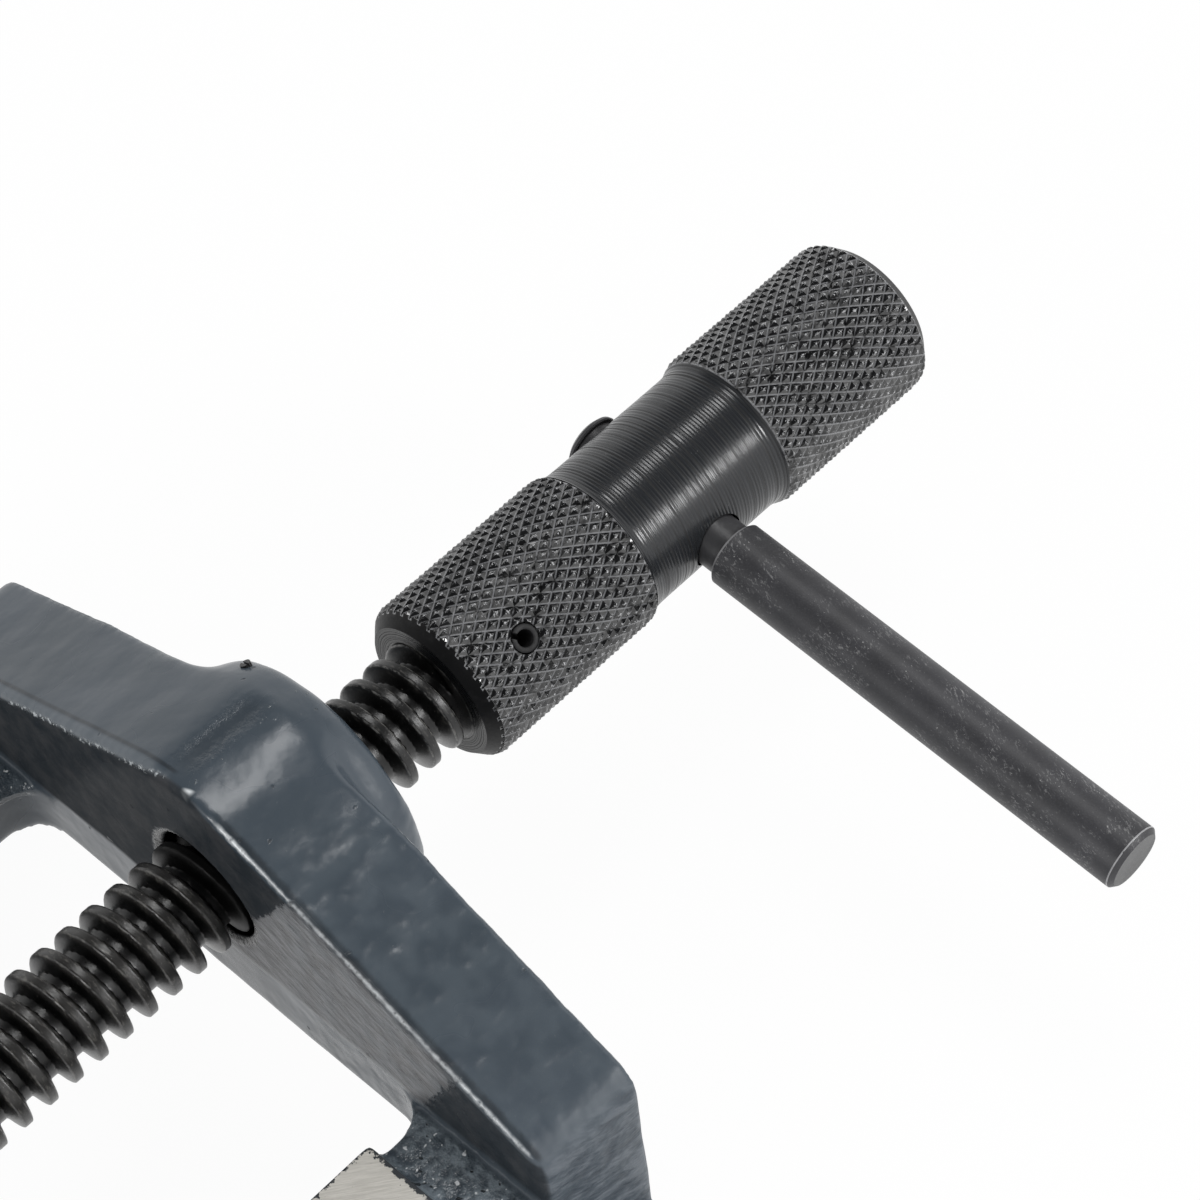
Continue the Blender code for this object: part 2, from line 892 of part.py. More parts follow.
def thread_form(name, start, end):
    """A right-hand thread as one closed body, a turn longer than the screw needs at each end."""
    form = bmesh.new()
    turns = math.ceil((end - start) / thread_pitch) + 2
    radii = (thread_radius, thread_radius, thread_root, thread_root)
    first_x = start - thread_pitch
    rows = []
    for step in range(thread_steps * turns + 1):
        angle = math.tau * step / thread_steps + thread_phase
        rows.append([])
        for share, radius in zip(crest_shares, radii):
            x = first_x + thread_pitch * (step / thread_steps + share)
            spot = (x, radius * math.cos(angle), radius * math.sin(angle))
            rows[-1].append(form.verts.new(spot))
    for step in range(thread_steps * turns):
        here = rows[step]
        ahead = rows[step + 1]
        for first, second in zip(range(3), range(1, 4)):
            form.faces.new((here[first], here[second], ahead[second], ahead[first]))
        later = step + thread_steps
        if later < thread_steps * turns:
            form.faces.new((here[3], rows[later][0], rows[later + 1][0], ahead[3]))
    last = thread_steps * turns
    near = form.verts.new((first_x, 0, 0))
    far = form.verts.new((first_x + thread_pitch * (turns + 1), 0, 0))
    near_edge = [row[0] for row in rows[: thread_steps + 1]] + [rows[0][k] for k in (3, 2, 1)]
    far_edge = [row[3] for row in rows[last - thread_steps :]] + [rows[last][k] for k in (2, 1, 0)]
    for edge, middle in ((near_edge, near), (far_edge, far)):
        for first, second in zip(edge, edge[1:] + edge[:1]):
            form.faces.new((first, second, middle))
    return put(name, mesh_from(name, form), None, Matrix.Translation(screw_axis))


# Lead screw: threaded over most of its length, with a grooved tip and a plain shank in the hub
lead_screw = turned(
    "lead_screw",
    [
        (tip_start, 0),
        (tip_start, tip_radius - tip_bevel),
        (tip_start + tip_bevel, tip_radius),
        (groove_start, tip_radius),
        (groove_start, tip_groove_radius),
        (groove_end, tip_groove_radius),
        (groove_end, tip_radius - tip_bevel),
        (groove_end + tip_bevel, tip_radius),
        (thread_start, tip_radius),
        (thread_start, thread_root - seat_gap),
        (thread_end, thread_root - seat_gap),
        (thread_end, thread_radius),
        (screw_end - tip_bevel, thread_radius),
        (screw_end, thread_radius - tip_bevel),
        (screw_end, 0),
    ],
    screw_axis,
    (1, 0, 0),
    black_oxide,
)
thread_blank = turned(
    "thread_blank_form",
    [
        (thread_start - sink, 0),
        (thread_start - sink, thread_root - seat_gap * 2),
        (thread_start + thread_chamfer, thread_radius + overrun),
        (thread_end + sink, thread_radius + overrun),
        (thread_end + sink, 0),
    ],
    screw_axis,
    (1, 0, 0),
    steps=small_round_steps,
)
thread = thread_form("thread_form", thread_start, thread_end)
shape(thread, "INTERSECT", thread_blank)
shape(lead_screw, "UNION", thread)

# Knurled hub: two gripping bands and a waist that the crank bar passes through
waist_start = (hub_length - waist_length) / 2


rim = [(0, hub_radius - hub_end_chamfer), (hub_end_chamfer, hub_radius)]
step_down = []
for step in range(corner_steps + 1):
    turn = math.radians(90) * step / corner_steps
    at = waist_start - waist_fillet * (1 - math.sin(turn))
    step_down.append((at, hub_radius - (hub_radius - waist_radius) * (1 - math.cos(turn))))
half_profile = rim + step_down
hub_bore_radius = thread_radius + seat_gap
hub_profile = [(hub_bore_depth, 0), (hub_bore_depth, hub_bore_radius), (0, hub_bore_radius)]
hub_profile += half_profile
hub_profile += [(hub_length - at, radius) for at, radius in reversed(half_profile)]
hub_profile += [(hub_length, 0)]
handle_hub = turned(
    "handle_hub",
    hub_profile,
    (hub_face, 0, screw_height),
    (1, 0, 0),
    black_oxide,
)
bar_direction = Vector((0, -math.cos(bar_droop), -math.sin(bar_droop)))
bar_middle = Vector((hub_middle, 0, screw_height))
bar_hole = rod(
    "bar_hole_cut",
    bar_middle - bar_direction * hub_radius * 2,
    bar_direction,
    neck_radius + screw_play,
    hub_radius * 4,
)
pin_direction = Vector((0, math.cos(pin_angle), math.sin(pin_angle)))
pin_middle = Vector((pin_x, 0, screw_height))
pin_hole = rod(
    "pin_hole_cut",
    pin_middle - pin_direction * hub_radius * 2,
    pin_direction,
    pin_radius + pin_play,
    hub_radius * 4,
)
shape(handle_hub, "DIFFERENCE", bar_hole, pin_hole)
shape(lead_screw, "DIFFERENCE", pin_hole)
soft_shading(handle_hub)

# Roll pin: a slit spring tube through the hub and the screw's shank
pin_half = hub_radius - pin_recess
roll_pin = rod(
    "hub_roll_pin",
    pin_middle - pin_direction * pin_half,
    pin_direction,
    pin_radius,
    pin_half * 2,
    black_oxide,
)
pin_bore = rod(
    "pin_bore_cut",
    pin_middle - pin_direction * hub_radius * 2,
    pin_direction,
    pin_bore_radius,
    hub_radius * 4,
    steps=round_steps // 3,
)
pin_slit_cut = block(
    "pin_slit_cut",
    (-pin_radius * 2, -pin_slit / 2, -hub_radius * 2),
    (0, pin_slit / 2, hub_radius * 2),
)
pin_sideways = Vector((1, 0, 0))
pin_slit_cut.matrix_world = Matrix.Translation(pin_middle) @ Matrix(
    (
        (*pin_sideways,),
        (*pin_direction.cross(pin_sideways),),
        (*pin_direction,),
    )
).transposed().to_4x4()
shape(roll_pin, "DIFFERENCE", pin_bore, pin_slit_cut)

# Crank bar: a thick bar with a thinner neck through the hub and a peened head on the far side
peen_start = -waist_radius - seat_gap
crank_bar = turned(
    "crank_bar",
    [
        (peen_start - peen_height, 0),
        (peen_start - peen_height, peen_radius / 2),
        (peen_start - peen_height * 0.8, peen_radius * 0.8),
        (peen_start - peen_height * 0.4, peen_radius),
        (peen_start, peen_radius),
        (peen_start, neck_radius),
        (bar_shoulder, neck_radius),
        (bar_shoulder, bar_radius - bar_shoulder_chamfer),
        (bar_shoulder + bar_shoulder_chamfer, bar_radius),
        (bar_end - bar_chamfer, bar_radius),
        (bar_end, bar_radius - bar_chamfer),
        (bar_end, 0),
    ],
    bar_middle,
    bar_direction,
    black_oxide,
)
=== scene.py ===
"""Looks of a drill press vise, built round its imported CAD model. Metres, +Z up, +X towards the handle."""

import math

import bmesh
import bpy
import numpy as np
from mathutils import Matrix, Vector, noise


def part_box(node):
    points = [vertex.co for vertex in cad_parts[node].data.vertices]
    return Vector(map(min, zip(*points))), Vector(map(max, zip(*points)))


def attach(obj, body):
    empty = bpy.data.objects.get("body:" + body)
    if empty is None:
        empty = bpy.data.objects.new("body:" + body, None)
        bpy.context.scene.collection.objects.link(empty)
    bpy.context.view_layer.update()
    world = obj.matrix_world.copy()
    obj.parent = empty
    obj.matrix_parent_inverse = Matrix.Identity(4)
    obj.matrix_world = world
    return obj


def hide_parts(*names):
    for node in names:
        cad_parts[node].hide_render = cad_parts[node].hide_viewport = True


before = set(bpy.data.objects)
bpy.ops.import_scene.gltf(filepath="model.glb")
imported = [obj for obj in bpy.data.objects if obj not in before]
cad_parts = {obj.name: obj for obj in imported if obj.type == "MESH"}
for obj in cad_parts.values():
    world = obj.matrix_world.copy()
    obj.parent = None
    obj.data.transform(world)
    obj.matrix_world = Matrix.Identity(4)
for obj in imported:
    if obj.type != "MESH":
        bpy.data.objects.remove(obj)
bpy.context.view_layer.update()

# Base casting: grey iron poured in sand, one piece with its ways, flanges, fixed jaw block and bridge.
# It is sprayed with glossy slate enamel that follows every lump of the sand. Then the way tops and the
# underside are ground bright, which leaves a ragged edge between steel and paint.
MM = 0.001
sand_grain = 0.7 * MM
sand_softening = 4
way_top = 33.0 * MM
way_stock = 0.9 * MM
way_start = -8.0 * MM
way_end = 171.0 * MM
way_inner = 38.2 * MM
way_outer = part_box("fixed_jaw_plate")[1].y
way_under = 21.7 * MM
bridge_face = 180.0 * MM
screw_height = 43.0 * MM
crest_radius = 22.3 * MM
roof_slope = math.radians(23.3)
boss_radius = 19.0 * MM
flare_start = 196.8 * MM
flare_end = 202.9 * MM
bore_radius = 8.29 * MM
body_faces = 190000
grinding_reach = 20.0 * MM
grinding_side = 100.0 * MM
underside_side = 120.0 * MM
underside_end = 250.0 * MM
broad_swell = 13.0 * MM
fine_swell = 4.5 * MM
keeper_side = 54.0 * MM
boss_root = 198.0 * MM
# Where the matt film of painted shade on the inner face's far and near ends begins, and how its edges lean.
far_shade_start = 4.1 * MM
far_shade_height = 25.9 * MM
far_shade_lean = 0.706
near_shade_start = 44.4 * MM
near_shade_height = 42.1 * MM
near_shade_lean = 0.53


class Value:
    """A shader socket that can be used in sums: each operator adds the Math node that works it out."""

    def __init__(self, finish, socket):
        self.finish = finish
        self.socket = socket

    def maths(self, operation, *terms):
        return self.finish.node("Math", {"operation": operation}, dict(enumerate(terms)))

    def __add__(self, other):
        return self.maths("ADD", self, other)

    def __sub__(self, other):
        return self.maths("SUBTRACT", self, other)

    def __rsub__(self, other):
        return self.maths("SUBTRACT", other, self)

    def __mul__(self, other):
        return self.maths("MULTIPLY", self, other)

    def __pow__(self, other):
        return self.maths("POWER", self, other)

    def __abs__(self):
        return self.maths("ABSOLUTE", self)

    __radd__ = __add__
    __rmul__ = __mul__


class Finish:
    """One surface finish of the vise: a Principled material that is built up node by node.

    Its spot is where a point lies in the vise, in metres, before its piece moves.
    """

    def __init__(self, name, **plain):
        self.material = bpy.data.materials.new(name)
        self.material.use_nodes = True
        self.tree = self.material.node_tree
        self.shader = self.tree.nodes["Principled BSDF"]
        self.spot = self.node("TexCoord", output="Object")
        self.tone = None
        self.skin = None
        self.set(**plain)

    def node(self, kind, settings=None, sockets=None, output=0):
        """Adds a node: its settings first, then a value or a link for each of its sockets."""
        made = self.tree.nodes.new("ShaderNode" + kind)
        for name, setting in (settings or {}).items():
            setattr(made, name, setting)
        for name, given in (sockets or {}).items():
            self.feed(made.inputs[name], given)
        return Value(self, made.outputs[output])

    def feed(self, socket, given):
        if isinstance(given, Value):
            self.tree.links.new(given.socket, socket)
        else:
            socket.default_value = given

    def set(self, **given):
        """Sets the shader's own sockets, with an underscore for each space in a socket's name."""
        for name, value in given.items():
            self.feed(self.shader.inputs[name.replace("_", " ")], value)

    def axes(self):
        """The X, Y and Z of the spot."""
        apart = self.tree.nodes.new("ShaderNodeSeparateXYZ")
        self.feed(apart.inputs[0], self.spot)
        return [Value(self, out) for out in apart.outputs]

    def stretch(self, scale, turn=(0, 0, 0)):
        """The spot turned and then scaled, for a pattern that is longer one way."""
        turned = self.node("Mapping", None, {"Vector": self.spot, "Rotation": turn})
        return self.node("VectorMath", {"operation": "MULTIPLY"}, {0: turned, 1: scale})

    def cloud(self, size, detail=2.0, roughness=0.5, place=None):
        """Soft noise from 0 to 1 whose blotches are about the size given, at the spot or another place."""
        return self.node(
            "TexNoise",
            {"noise_dimensions": "3D"},
            {"Vector": place or self.spot, "Scale": 1 / size, "Detail": detail, "Roughness": roughness},
        )

    def between(self, value, low, high):
        """0 below low, 1 above high and smooth in between."""
        return self.node(
            "MapRange",
            {"interpolation_type": "SMOOTHSTEP"},
            {"Value": value, "From Min": low, "From Max": high},
        )

    def within(self, value, near, far):
        """1 up to near, 0 beyond far and smooth in between."""
        return 1 - self.between(value, near, far)

    def span(self, value, start, full, spent, end):
        """1 from full to spent, 0 before start and beyond end, and smooth in between."""
        return self.between(value, start, full) * self.within(value, spent, end)

    def off_axis(self, y, z):
        """How far a place is from the screw's axis."""
        up = z - screw_height
        return (y * y + up * up) ** 0.5

    def ray(self, kind):
        """1 for a ray of this kind, such as the camera's own, and 0 for any other."""
        return self.node("LightPath", output=f"Is {kind} Ray")

    def mix(self, share, first, second):
        """A colour that goes from first to second as the share goes from 0 to 1."""
        return self.node("Mix", {"data_type": "RGBA"}, {0: share, 6: first, 7: second}, output=2)

    def tint(self, share, colour):
        """Lays a colour over the tone so far."""
        self.tone = self.mix(share, self.tone, colour)

    def emboss(self, height, depth):
        """Adds a bump to the skin so far: its height from 0 to 1 stands for a real depth in metres."""
        sockets = {"Height": height, "Distance": depth}
        if self.skin is not None:
            sockets["Normal"] = self.skin
        self.skin = self.node("Bump", None, sockets)

    def finished(self, **given):
        """Gives the shader its tone and its skin, and whatever else is named."""
        self.set(Base_Color=self.tone, Normal=self.skin, **given)

    def cover(self, share, film):
        """Shows a second shader in place of the first, as far as the share goes."""
        blend = self.tree.nodes.new("ShaderNodeMixShader")
        self.feed(blend.inputs[0], share)
        self.tree.links.new(self.shader.outputs[0], blend.inputs[1])
        self.tree.links.new(film.socket, blend.inputs[2])
        self.tree.links.new(blend.outputs[0], self.tree.nodes["Material Output"].inputs["Surface"])


def seen(red, green, blue):
    """A colour as it shows on a screen, from 0 to 255, as a shader's colour."""
    parts = [part / 255 for part in (red, green, blue)]
    return (*[p / 12.92 if p < 0.04045 else ((p + 0.055) / 1.055) ** 2.4 for p in parts], 1)


class SlateEnamel(Finish):
    """Glossy blue-grey enamel over an as-cast surface: soft lumps, orange peel and a little dust."""

    def __init__(self, name):
        super().__init__(name)
        patches = self.cloud(24.0 * MM, 3.0)
        pits = self.between(self.cloud(1.9 * MM, 1.0), 0.76, 0.84)
        dust = self.between(self.cloud(0.45 * MM, 1.0), 0.74, 0.82)
        self.tone = self.mix(self.between(patches, 0.3, 0.75), seen(61, 70, 78), seen(68, 77, 86))
        self.tint(pits * 0.6, seen(20, 22, 25))
        self.tint(dust * 0.12, seen(150, 150, 146))
        self.emboss(self.cloud(5.5 * MM, 2.5), 0.20 * MM)
        self.emboss(self.cloud(2.6 * MM, 1.5), 0.04 * MM)
        self.emboss(self.cloud(1.1 * MM, 1.5), 0.012 * MM)
        self.emboss(1 - pits, 0.08 * MM)
        self.roughness = self.between(patches, 0.2, 0.8) * 0.06 + pits * 0.2 + 0.25
        self.finished(Roughness=self.roughness)


def roof_height(across):
    """How high the bridge's sloped roof is at a distance to the side of the screw."""
    return screw_height + crest_radius / math.cos(roof_slope) - across * math.tan(roof_slope)


class BridgeEnamel(SlateEnamel):
    """The base casting's enamel, with what the sand, the spray and use leave on the bridge, and painted
    highlights, reflections and shade.
    """

    def __init__(self, name):
        super().__init__(name)
        self.x, self.y, self.z = self.axes()
        self.ragged = (self.cloud(1.3 * MM, 4.0, 0.65) - 0.5) * (4.5 * MM)
        self.off_face = self.x - bridge_face
        self.over_roof = self.z - roof_height(abs(self.y))
        self.off_edge = (self.off_face * self.off_face + self.over_roof ** 2) ** 0.5
        self.inside = self.span(self.off_face, -3 * MM, -1 * MM, 0.5 * MM, 1.1 * MM)
        self.inside = self.inside * self.between(self.z, 31.5 * MM, 33 * MM)
        self.inner_face_reflection_and_shade()
        self.near_edge_highlight_and_shade()
        self.roughen_slopes()
        self.far_edge_light_and_shade()
        self.fill_foot_strip()
        self.wave_ends()
        self.crease_crest()
        self.oil_and_painted_shade()

    def inner_face_reflection_and_shade(self):
        """Light streaks in the middle of the inner face as painted reflection, and its two ends marked for a
        matt film of painted shade.
        """
        far_end = self.y + (self.z - far_shade_height) * far_shade_lean - far_shade_start + self.ragged
        far_end = self.between(far_end, -0.3 * MM, 0.3 * MM)
        near_end = (near_shade_height - self.z) * near_shade_lean - near_shade_start - self.y + self.ragged
        near_end = self.between(near_end, -0.5 * MM, 0.5 * MM)
        # The inner face's two ends are marked for a matt dark film: painted shade and painted dark
        # reflection.
        self.painted_shade_film = abs(far_end - near_end) * self.inside * self.within(self.over_roof, -1.4 * MM, -0.8 * MM)
        self.painted_shade_strength = 0.9 - near_end * 0.15
        self.streaky = self.inside * (1 - far_end) * (1 - near_end)
        along = self.stretch((1, 0.34, 1), (-roof_slope, 0, 0))
        streaks = self.cloud(1.1 * MM, 4.0, 0.6, along)
        cracks = self.between(self.cloud(0.8 * MM, place=along), 0.65, 0.70) * self.streaky
        smudges = self.cloud(2.6 * MM, 4.0, 0.65)
        # Painted reflection: the middle of the inner face is toned darker and streaked light, as if it
        # mirrored the floor.
        self.tint(self.streaky, seen(55, 57, 61))
        self.tint(self.streaky * self.between(streaks, 0.42, 0.66) * 0.6, seen(114, 116, 120))
        self.tint(self.streaky * self.between(smudges, 0.5, 0.75) * 0.45, seen(50, 48, 46))
        self.tint(cracks * 0.85, seen(22, 22, 22))
        self.emboss(streaks * self.streaky, 0.30 * MM)
        self.emboss(1 - cracks, 0.10 * MM)

    def near_edge_highlight_and_shade(self):
        """A painted highlight as a bright beaded line on the edge of the near slope, and painted shade in a
        dark band beside it.
        """
        near = self.within(self.y, -9 * MM, -5 * MM)
        beads = self.cloud(1.1 * MM, 2.0)
        painted_edge_highlight = self.within(self.off_edge + (beads - 0.5) * (0.5 * MM), 0.30 * MM, 0.85 * MM) * near
        painted_dark_band = self.within(self.off_face + self.ragged * 0.15, 1.1 * MM, 1.9 * MM)
        painted_dark_band = painted_dark_band * self.between(self.off_face, 0.5 * MM, 0.9 * MM)
        self.painted_dark_band = painted_dark_band * near * self.between(self.over_roof, -0.9 * MM, -0.4 * MM)
        # Painted highlight on the edge, and painted shade in the band beside it.
        self.tint(painted_edge_highlight * self.between(beads, 0.2, 0.5), seen(214, 218, 220))
        self.tint(self.painted_dark_band * 0.6, seen(24, 30, 35))

    def roughen_slopes(self):
        """Shallow hollows on the near slope, and a soft grain on the far one."""
        near_slope = self.within(self.y, -20 * MM, -11 * MM)
        hollows = self.cloud(3.4 * MM, 1.0, 0.4)
        grain = self.cloud(6.0 * MM, 1.5, place=self.stretch((0.35, 1, 1)))
        self.emboss(hollows * near_slope, 0.36 * MM)
        self.emboss(self.cloud(1.9 * MM, 1.0, 0.4) * near_slope, 0.08 * MM)
        self.tint(near_slope * self.between(hollows, 0.3, 0.7) * 0.35, seen(88, 97, 104))
        self.emboss(grain * self.between(self.y, 1 * MM, 6 * MM), 0.30 * MM)

    def far_edge_light_and_shade(self):
        """A lighter band of painted reflection along the far edge with a painted shade line on its roof side,
        paint drops under it with painted glints, and a painted glint on the apex.
        """
        far_half = self.between(self.y, 0.5 * MM, 2.5 * MM) * self.between(self.z, 40 * MM, 45 * MM)
        painted_reflection_band = far_half * self.within(self.off_edge, 1.2 * MM, 1.8 * MM)
        painted_shade_rim = far_half * self.within(abs(self.off_face - 2.0 * MM), 0.1 * MM, 0.45 * MM)
        painted_shade_rim = painted_shade_rim * self.between(self.over_roof, -1.5 * MM, -1 * MM)
        under_rim = self.within(abs(self.over_roof + 1.1 * MM) + self.ragged * 0.10, 0.15 * MM, 0.55 * MM)
        beads = self.between(self.cloud(0.9 * MM, 3.0, 0.6), 0.50, 0.62)
        self.drops_with_glints = far_half * self.inside * under_rim * beads
        painted_apex_glint = self.within(self.off_edge, 1.7 * MM, 2.1 * MM)
        painted_apex_glint = painted_apex_glint * self.within(abs(self.y + 1 * MM), 0.4 * MM, 1.3 * MM)
        # Painted reflection in the band, painted shade on its rim, and painted glints on the drops and the
        # apex.
        self.tint(painted_reflection_band * 0.4, seen(104, 112, 119))
        self.tint(painted_shade_rim * 0.7, seen(30, 36, 42))
        self.tint(self.drops_with_glints * 0.9, seen(190, 196, 200))
        self.tint(painted_apex_glint * 0.9, seen(226, 230, 232))
        self.emboss(self.drops_with_glints, 0.25 * MM)

    def fill_foot_strip(self):
        """Thick lumpy paint on the strip at the bridge's foot with pinholes; its lumps painted lighter, more
        on the near side, and painted glints.
        """
        strip = self.span(self.z, 29.5 * MM, 30.5 * MM, 32 * MM, 33 * MM)
        strip = strip * self.span(self.x, 168 * MM, 170 * MM, 178.6 * MM, 179.6 * MM)
        strip = strip * self.within(abs(self.y), 58 * MM, 61 * MM)
        # Painted light: the lumps are toned lighter, more so on the near side, and glints are painted on.
        light = strip * (1 - self.between(self.y, 0, 20 * MM) * 0.7)
        drips = self.cloud(2.0 * MM, 3.0, 0.6)
        painted_glints = self.between(self.cloud(0.9 * MM, 1.0), 0.69, 0.74)
        holes = self.between(self.cloud(1.3 * MM, 1.0), 0.68, 0.74) * strip
        self.tint(light * self.between(drips, 0.35, 0.6) * 0.85, seen(124, 134, 141))
        self.tint(strip * painted_glints * 0.8, seen(235, 238, 240))
        self.tint(holes * 0.8, seen(12, 14, 15))
        self.emboss(drips * strip, 0.60 * MM)
        self.emboss(1 - holes, 0.22 * MM)

    def wave_ends(self):
        """Waves that the sand left on the bridge's two end faces, with painted light on their crests and
        painted shade in their hollows.
        """
        ends = self.between(abs(self.y), 59 * MM, 62 * MM) * self.between(self.x, 172 * MM, 178 * MM)
        leaning = self.stretch((0.35, 1, 1), (0, math.radians(-20), 0))
        waves = self.cloud(1.5 * MM, 2.0, 0.55, leaning)
        self.emboss(waves * ends, 0.95 * MM)
        # Painted light on the waves' crests and painted shade in their hollows.
        self.tint(ends * self.between(waves, 0.42, 0.62) * 0.6, seen(124, 130, 137))
        self.tint(ends * self.within(waves, 0.3, 0.46) * 0.5, seen(48, 53, 60))

    def crease_crest(self):
        """A shallow crease along the crest with painted shade in it, and small raised flecks beside it with
        painted glints.
        """
        top = self.between(self.z, 60 * MM, 62 * MM)
        crease = self.within(abs(self.y - 2.2 * MM + self.ragged * 0.5), 0.2 * MM, 3.0 * MM)
        crease = crease * top * self.span(self.x, 181 * MM, 186 * MM, 194 * MM, 198 * MM)
        painted_glint_flecks = self.between(self.cloud(1.0 * MM, 2.0, 0.6), 0.66, 0.76)
        painted_glint_flecks = painted_glint_flecks * top * self.within(abs(self.y + 0.4 * MM), 0.4 * MM, 1.4 * MM)
        self.emboss(1 - crease, 0.22 * MM)
        self.emboss(painted_glint_flecks, 0.15 * MM)
        # Painted glints on the flecks, and painted shade in the crease.
        self.tint(painted_glint_flecks * 0.5, seen(150, 156, 158))
        self.tint(crease * 0.35, seen(30, 36, 42))

    def oil_and_painted_shade(self):
        """Black oil round the bore's mouth, the bore wall toned black as painted shade, and a matt dark film
        of painted shade on the inner face's ends.
        """
        bore_gap = self.off_axis(self.y, self.z) - bore_radius
        bore_wall = self.within(bore_gap, 0.25 * MM, 0.6 * MM)
        oil_and_shade = self.within(bore_gap + self.ragged * 0.4, 1.2 * MM, 1.9 * MM) * self.inside
        # The bore wall is toned black along with the oil: painted shade.
        oil_and_shade = 1 - (1 - oil_and_shade) * (1 - bore_wall)
        near_corner = self.within(self.y, -59.5 * MM, -57 * MM)
        self.tint(oil_and_shade, seen(9, 9, 9))
        self.emboss(self.cloud(0.7 * MM, 3.0, 0.6) * oil_and_shade, 0.25 * MM)
        self.finished(Roughness=self.roughness * (1 - oil_and_shade * 0.6) + self.streaky * 0.14 + near_corner * 0.26)
        # A matt film with no shine: painted shade on the inner face's ends, partly on the painted dark band,
        # and fully on the bore wall.
        smear = self.between(self.cloud(5.0 * MM, 4.0, 0.6), 0.35, 0.7)
        shade_film_tone = self.mix(smear, seen(45, 49, 53), seen(66, 67, 69))
        shade_film_tone = self.mix(bore_wall, shade_film_tone, seen(6, 6, 6))
        matt = {"Base Color": shade_film_tone, "Roughness": 0.7, "Specular IOR Level": 0.0, "Normal": self.skin}
        shade_share = self.painted_shade_film * (1 - oil_and_shade) * (1 - self.drops_with_glints) * self.painted_shade_strength
        self.cover(shade_share + self.painted_dark_band * 0.3 + bore_wall, self.node("BsdfPrincipled", None, matt))


class GroundSteel(Finish):
    """Surface-ground iron: bright and warm grey, with fine scratches one way and small open pores."""

    def __init__(self, name, turn=(0, 0, math.radians(38))):
        super().__init__(name, Metallic=0.5)
        scratches = self.cloud(0.16 * MM, 3.0, 0.7, self.stretch((0.05, 1, 1), turn))
        coarse = self.cloud(0.7 * MM, 2.0, 0.6, self.stretch((0.03, 1, 1), turn))
        pores = self.between(self.cloud(0.5 * MM, 2.0), 0.70, 0.76)
        stain = self.cloud(9.0 * MM, 4.0, 0.6)
        self.tone = self.mix(self.between(scratches, 0.3, 0.7), seen(184, 181, 174), seen(208, 205, 198))
        self.tint(self.between(coarse, 0.62, 0.8) * 0.5, seen(130, 127, 120))
        self.tint(self.between(stain, 0.5, 0.75) * 0.25, seen(146, 142, 132))
        self.tint(pores * 0.8, seen(60, 56, 50))
        self.emboss(scratches, 0.02 * MM)
        self.emboss(1 - pores, 0.05 * MM)
        self.finished(Roughness=scratches * 0.15 + 0.40)


class GroundWay(GroundSteel):
    """A ground way top, with a ragged rim of paint where the grinding stops."""

    def __init__(self, name):
        super().__init__(name)
        x, y, _ = self.axes()
        ragged = (self.cloud(0.9 * MM, 4.0, 0.65) - 0.5) * (2.6 * MM)
        rim = self.between(x + ragged, way_end - 0.7 * MM, way_end - 0.5 * MM)
        rim = 1 - (1 - rim) * self.between(abs(y) + ragged, way_inner + 0.25 * MM, way_inner + 0.4 * MM)
        self.tint(rim, seen(30, 36, 42))
        self.finished(Metallic=0.5 - rim * 0.5)


def box_into(form, low, high):
    """Adds a box between two corners."""
    size = Vector(high) - Vector(low)
    middle = (Vector(high) + Vector(low)) / 2
    bmesh.ops.create_cube(form, size=1, matrix=Matrix.Translation(middle) @ Matrix.Diagonal((*size, 1)))


def shaped(form, name):
    """The mesh of a form that is finished with."""
    mesh = bpy.data.meshes.new(name)
    form.to_mesh(mesh)
    form.free()
    return mesh


def piece(name, mesh, *finishes):
    """An object of the vise, with a material slot for each of its finishes."""
    made = bpy.data.objects.new(name, mesh)
    bpy.context.scene.collection.objects.link(made)
    mesh.materials.clear()
    for finish in finishes:
        mesh.materials.append(finish.material)
    return made


def settled(made):
    """Works a piece's modifiers into its mesh."""
    bpy.context.view_layer.update()
    worked = made.evaluated_get(bpy.context.evaluated_depsgraph_get())
    mesh = bpy.data.meshes.new_from_object(worked)
    mesh.name = made.name
    made.modifiers.clear()
    made.data = mesh
    return mesh


def read_points(mesh, what="vertices", field="co"):
    """A mesh's points, or another field of three numbers, as an array."""
    items = getattr(mesh, what)
    flat = np.empty(len(items) * 3, np.float32)
    items.foreach_get(field, flat)
    return flat.reshape(-1, 3)


def cut(made, *tools):
    """Cuts closed tools out of a piece, and throws the tools away."""
    for tool in tools:
        drill = made.modifiers.new("cut " + tool.name, "BOOLEAN")
        drill.operation = "DIFFERENCE"
        drill.solver = "MANIFOLD"
        drill.object = tool
    settled(made)
    for tool in tools:
        bpy.data.objects.remove(tool)


def tool_box(low, high):
    """A closed box that cuts, such as the sweep of a grinding wheel."""
    form = bmesh.new()
    box_into(form, low, high)
    return piece("grinding", shaped(form, "grinding"))


def rub(made, weights, passes):
    """Rounds a casting further where the weights, from 0 to 1, say so."""
    group = made.vertex_groups.new(name="rubbed")
    steps = np.round(weights * 10).astype(int)
    for step in range(1, 11):
        group.add(np.flatnonzero(steps == step).tolist(), step / 10, "REPLACE")
    fillet = made.modifiers.new("rubbed fillet", "SMOOTH")
    fillet.factor = 0.5
    fillet.iterations = passes
    fillet.vertex_group = group.name
    mesh = settled(made)
    made.vertex_groups.clear()
    return mesh


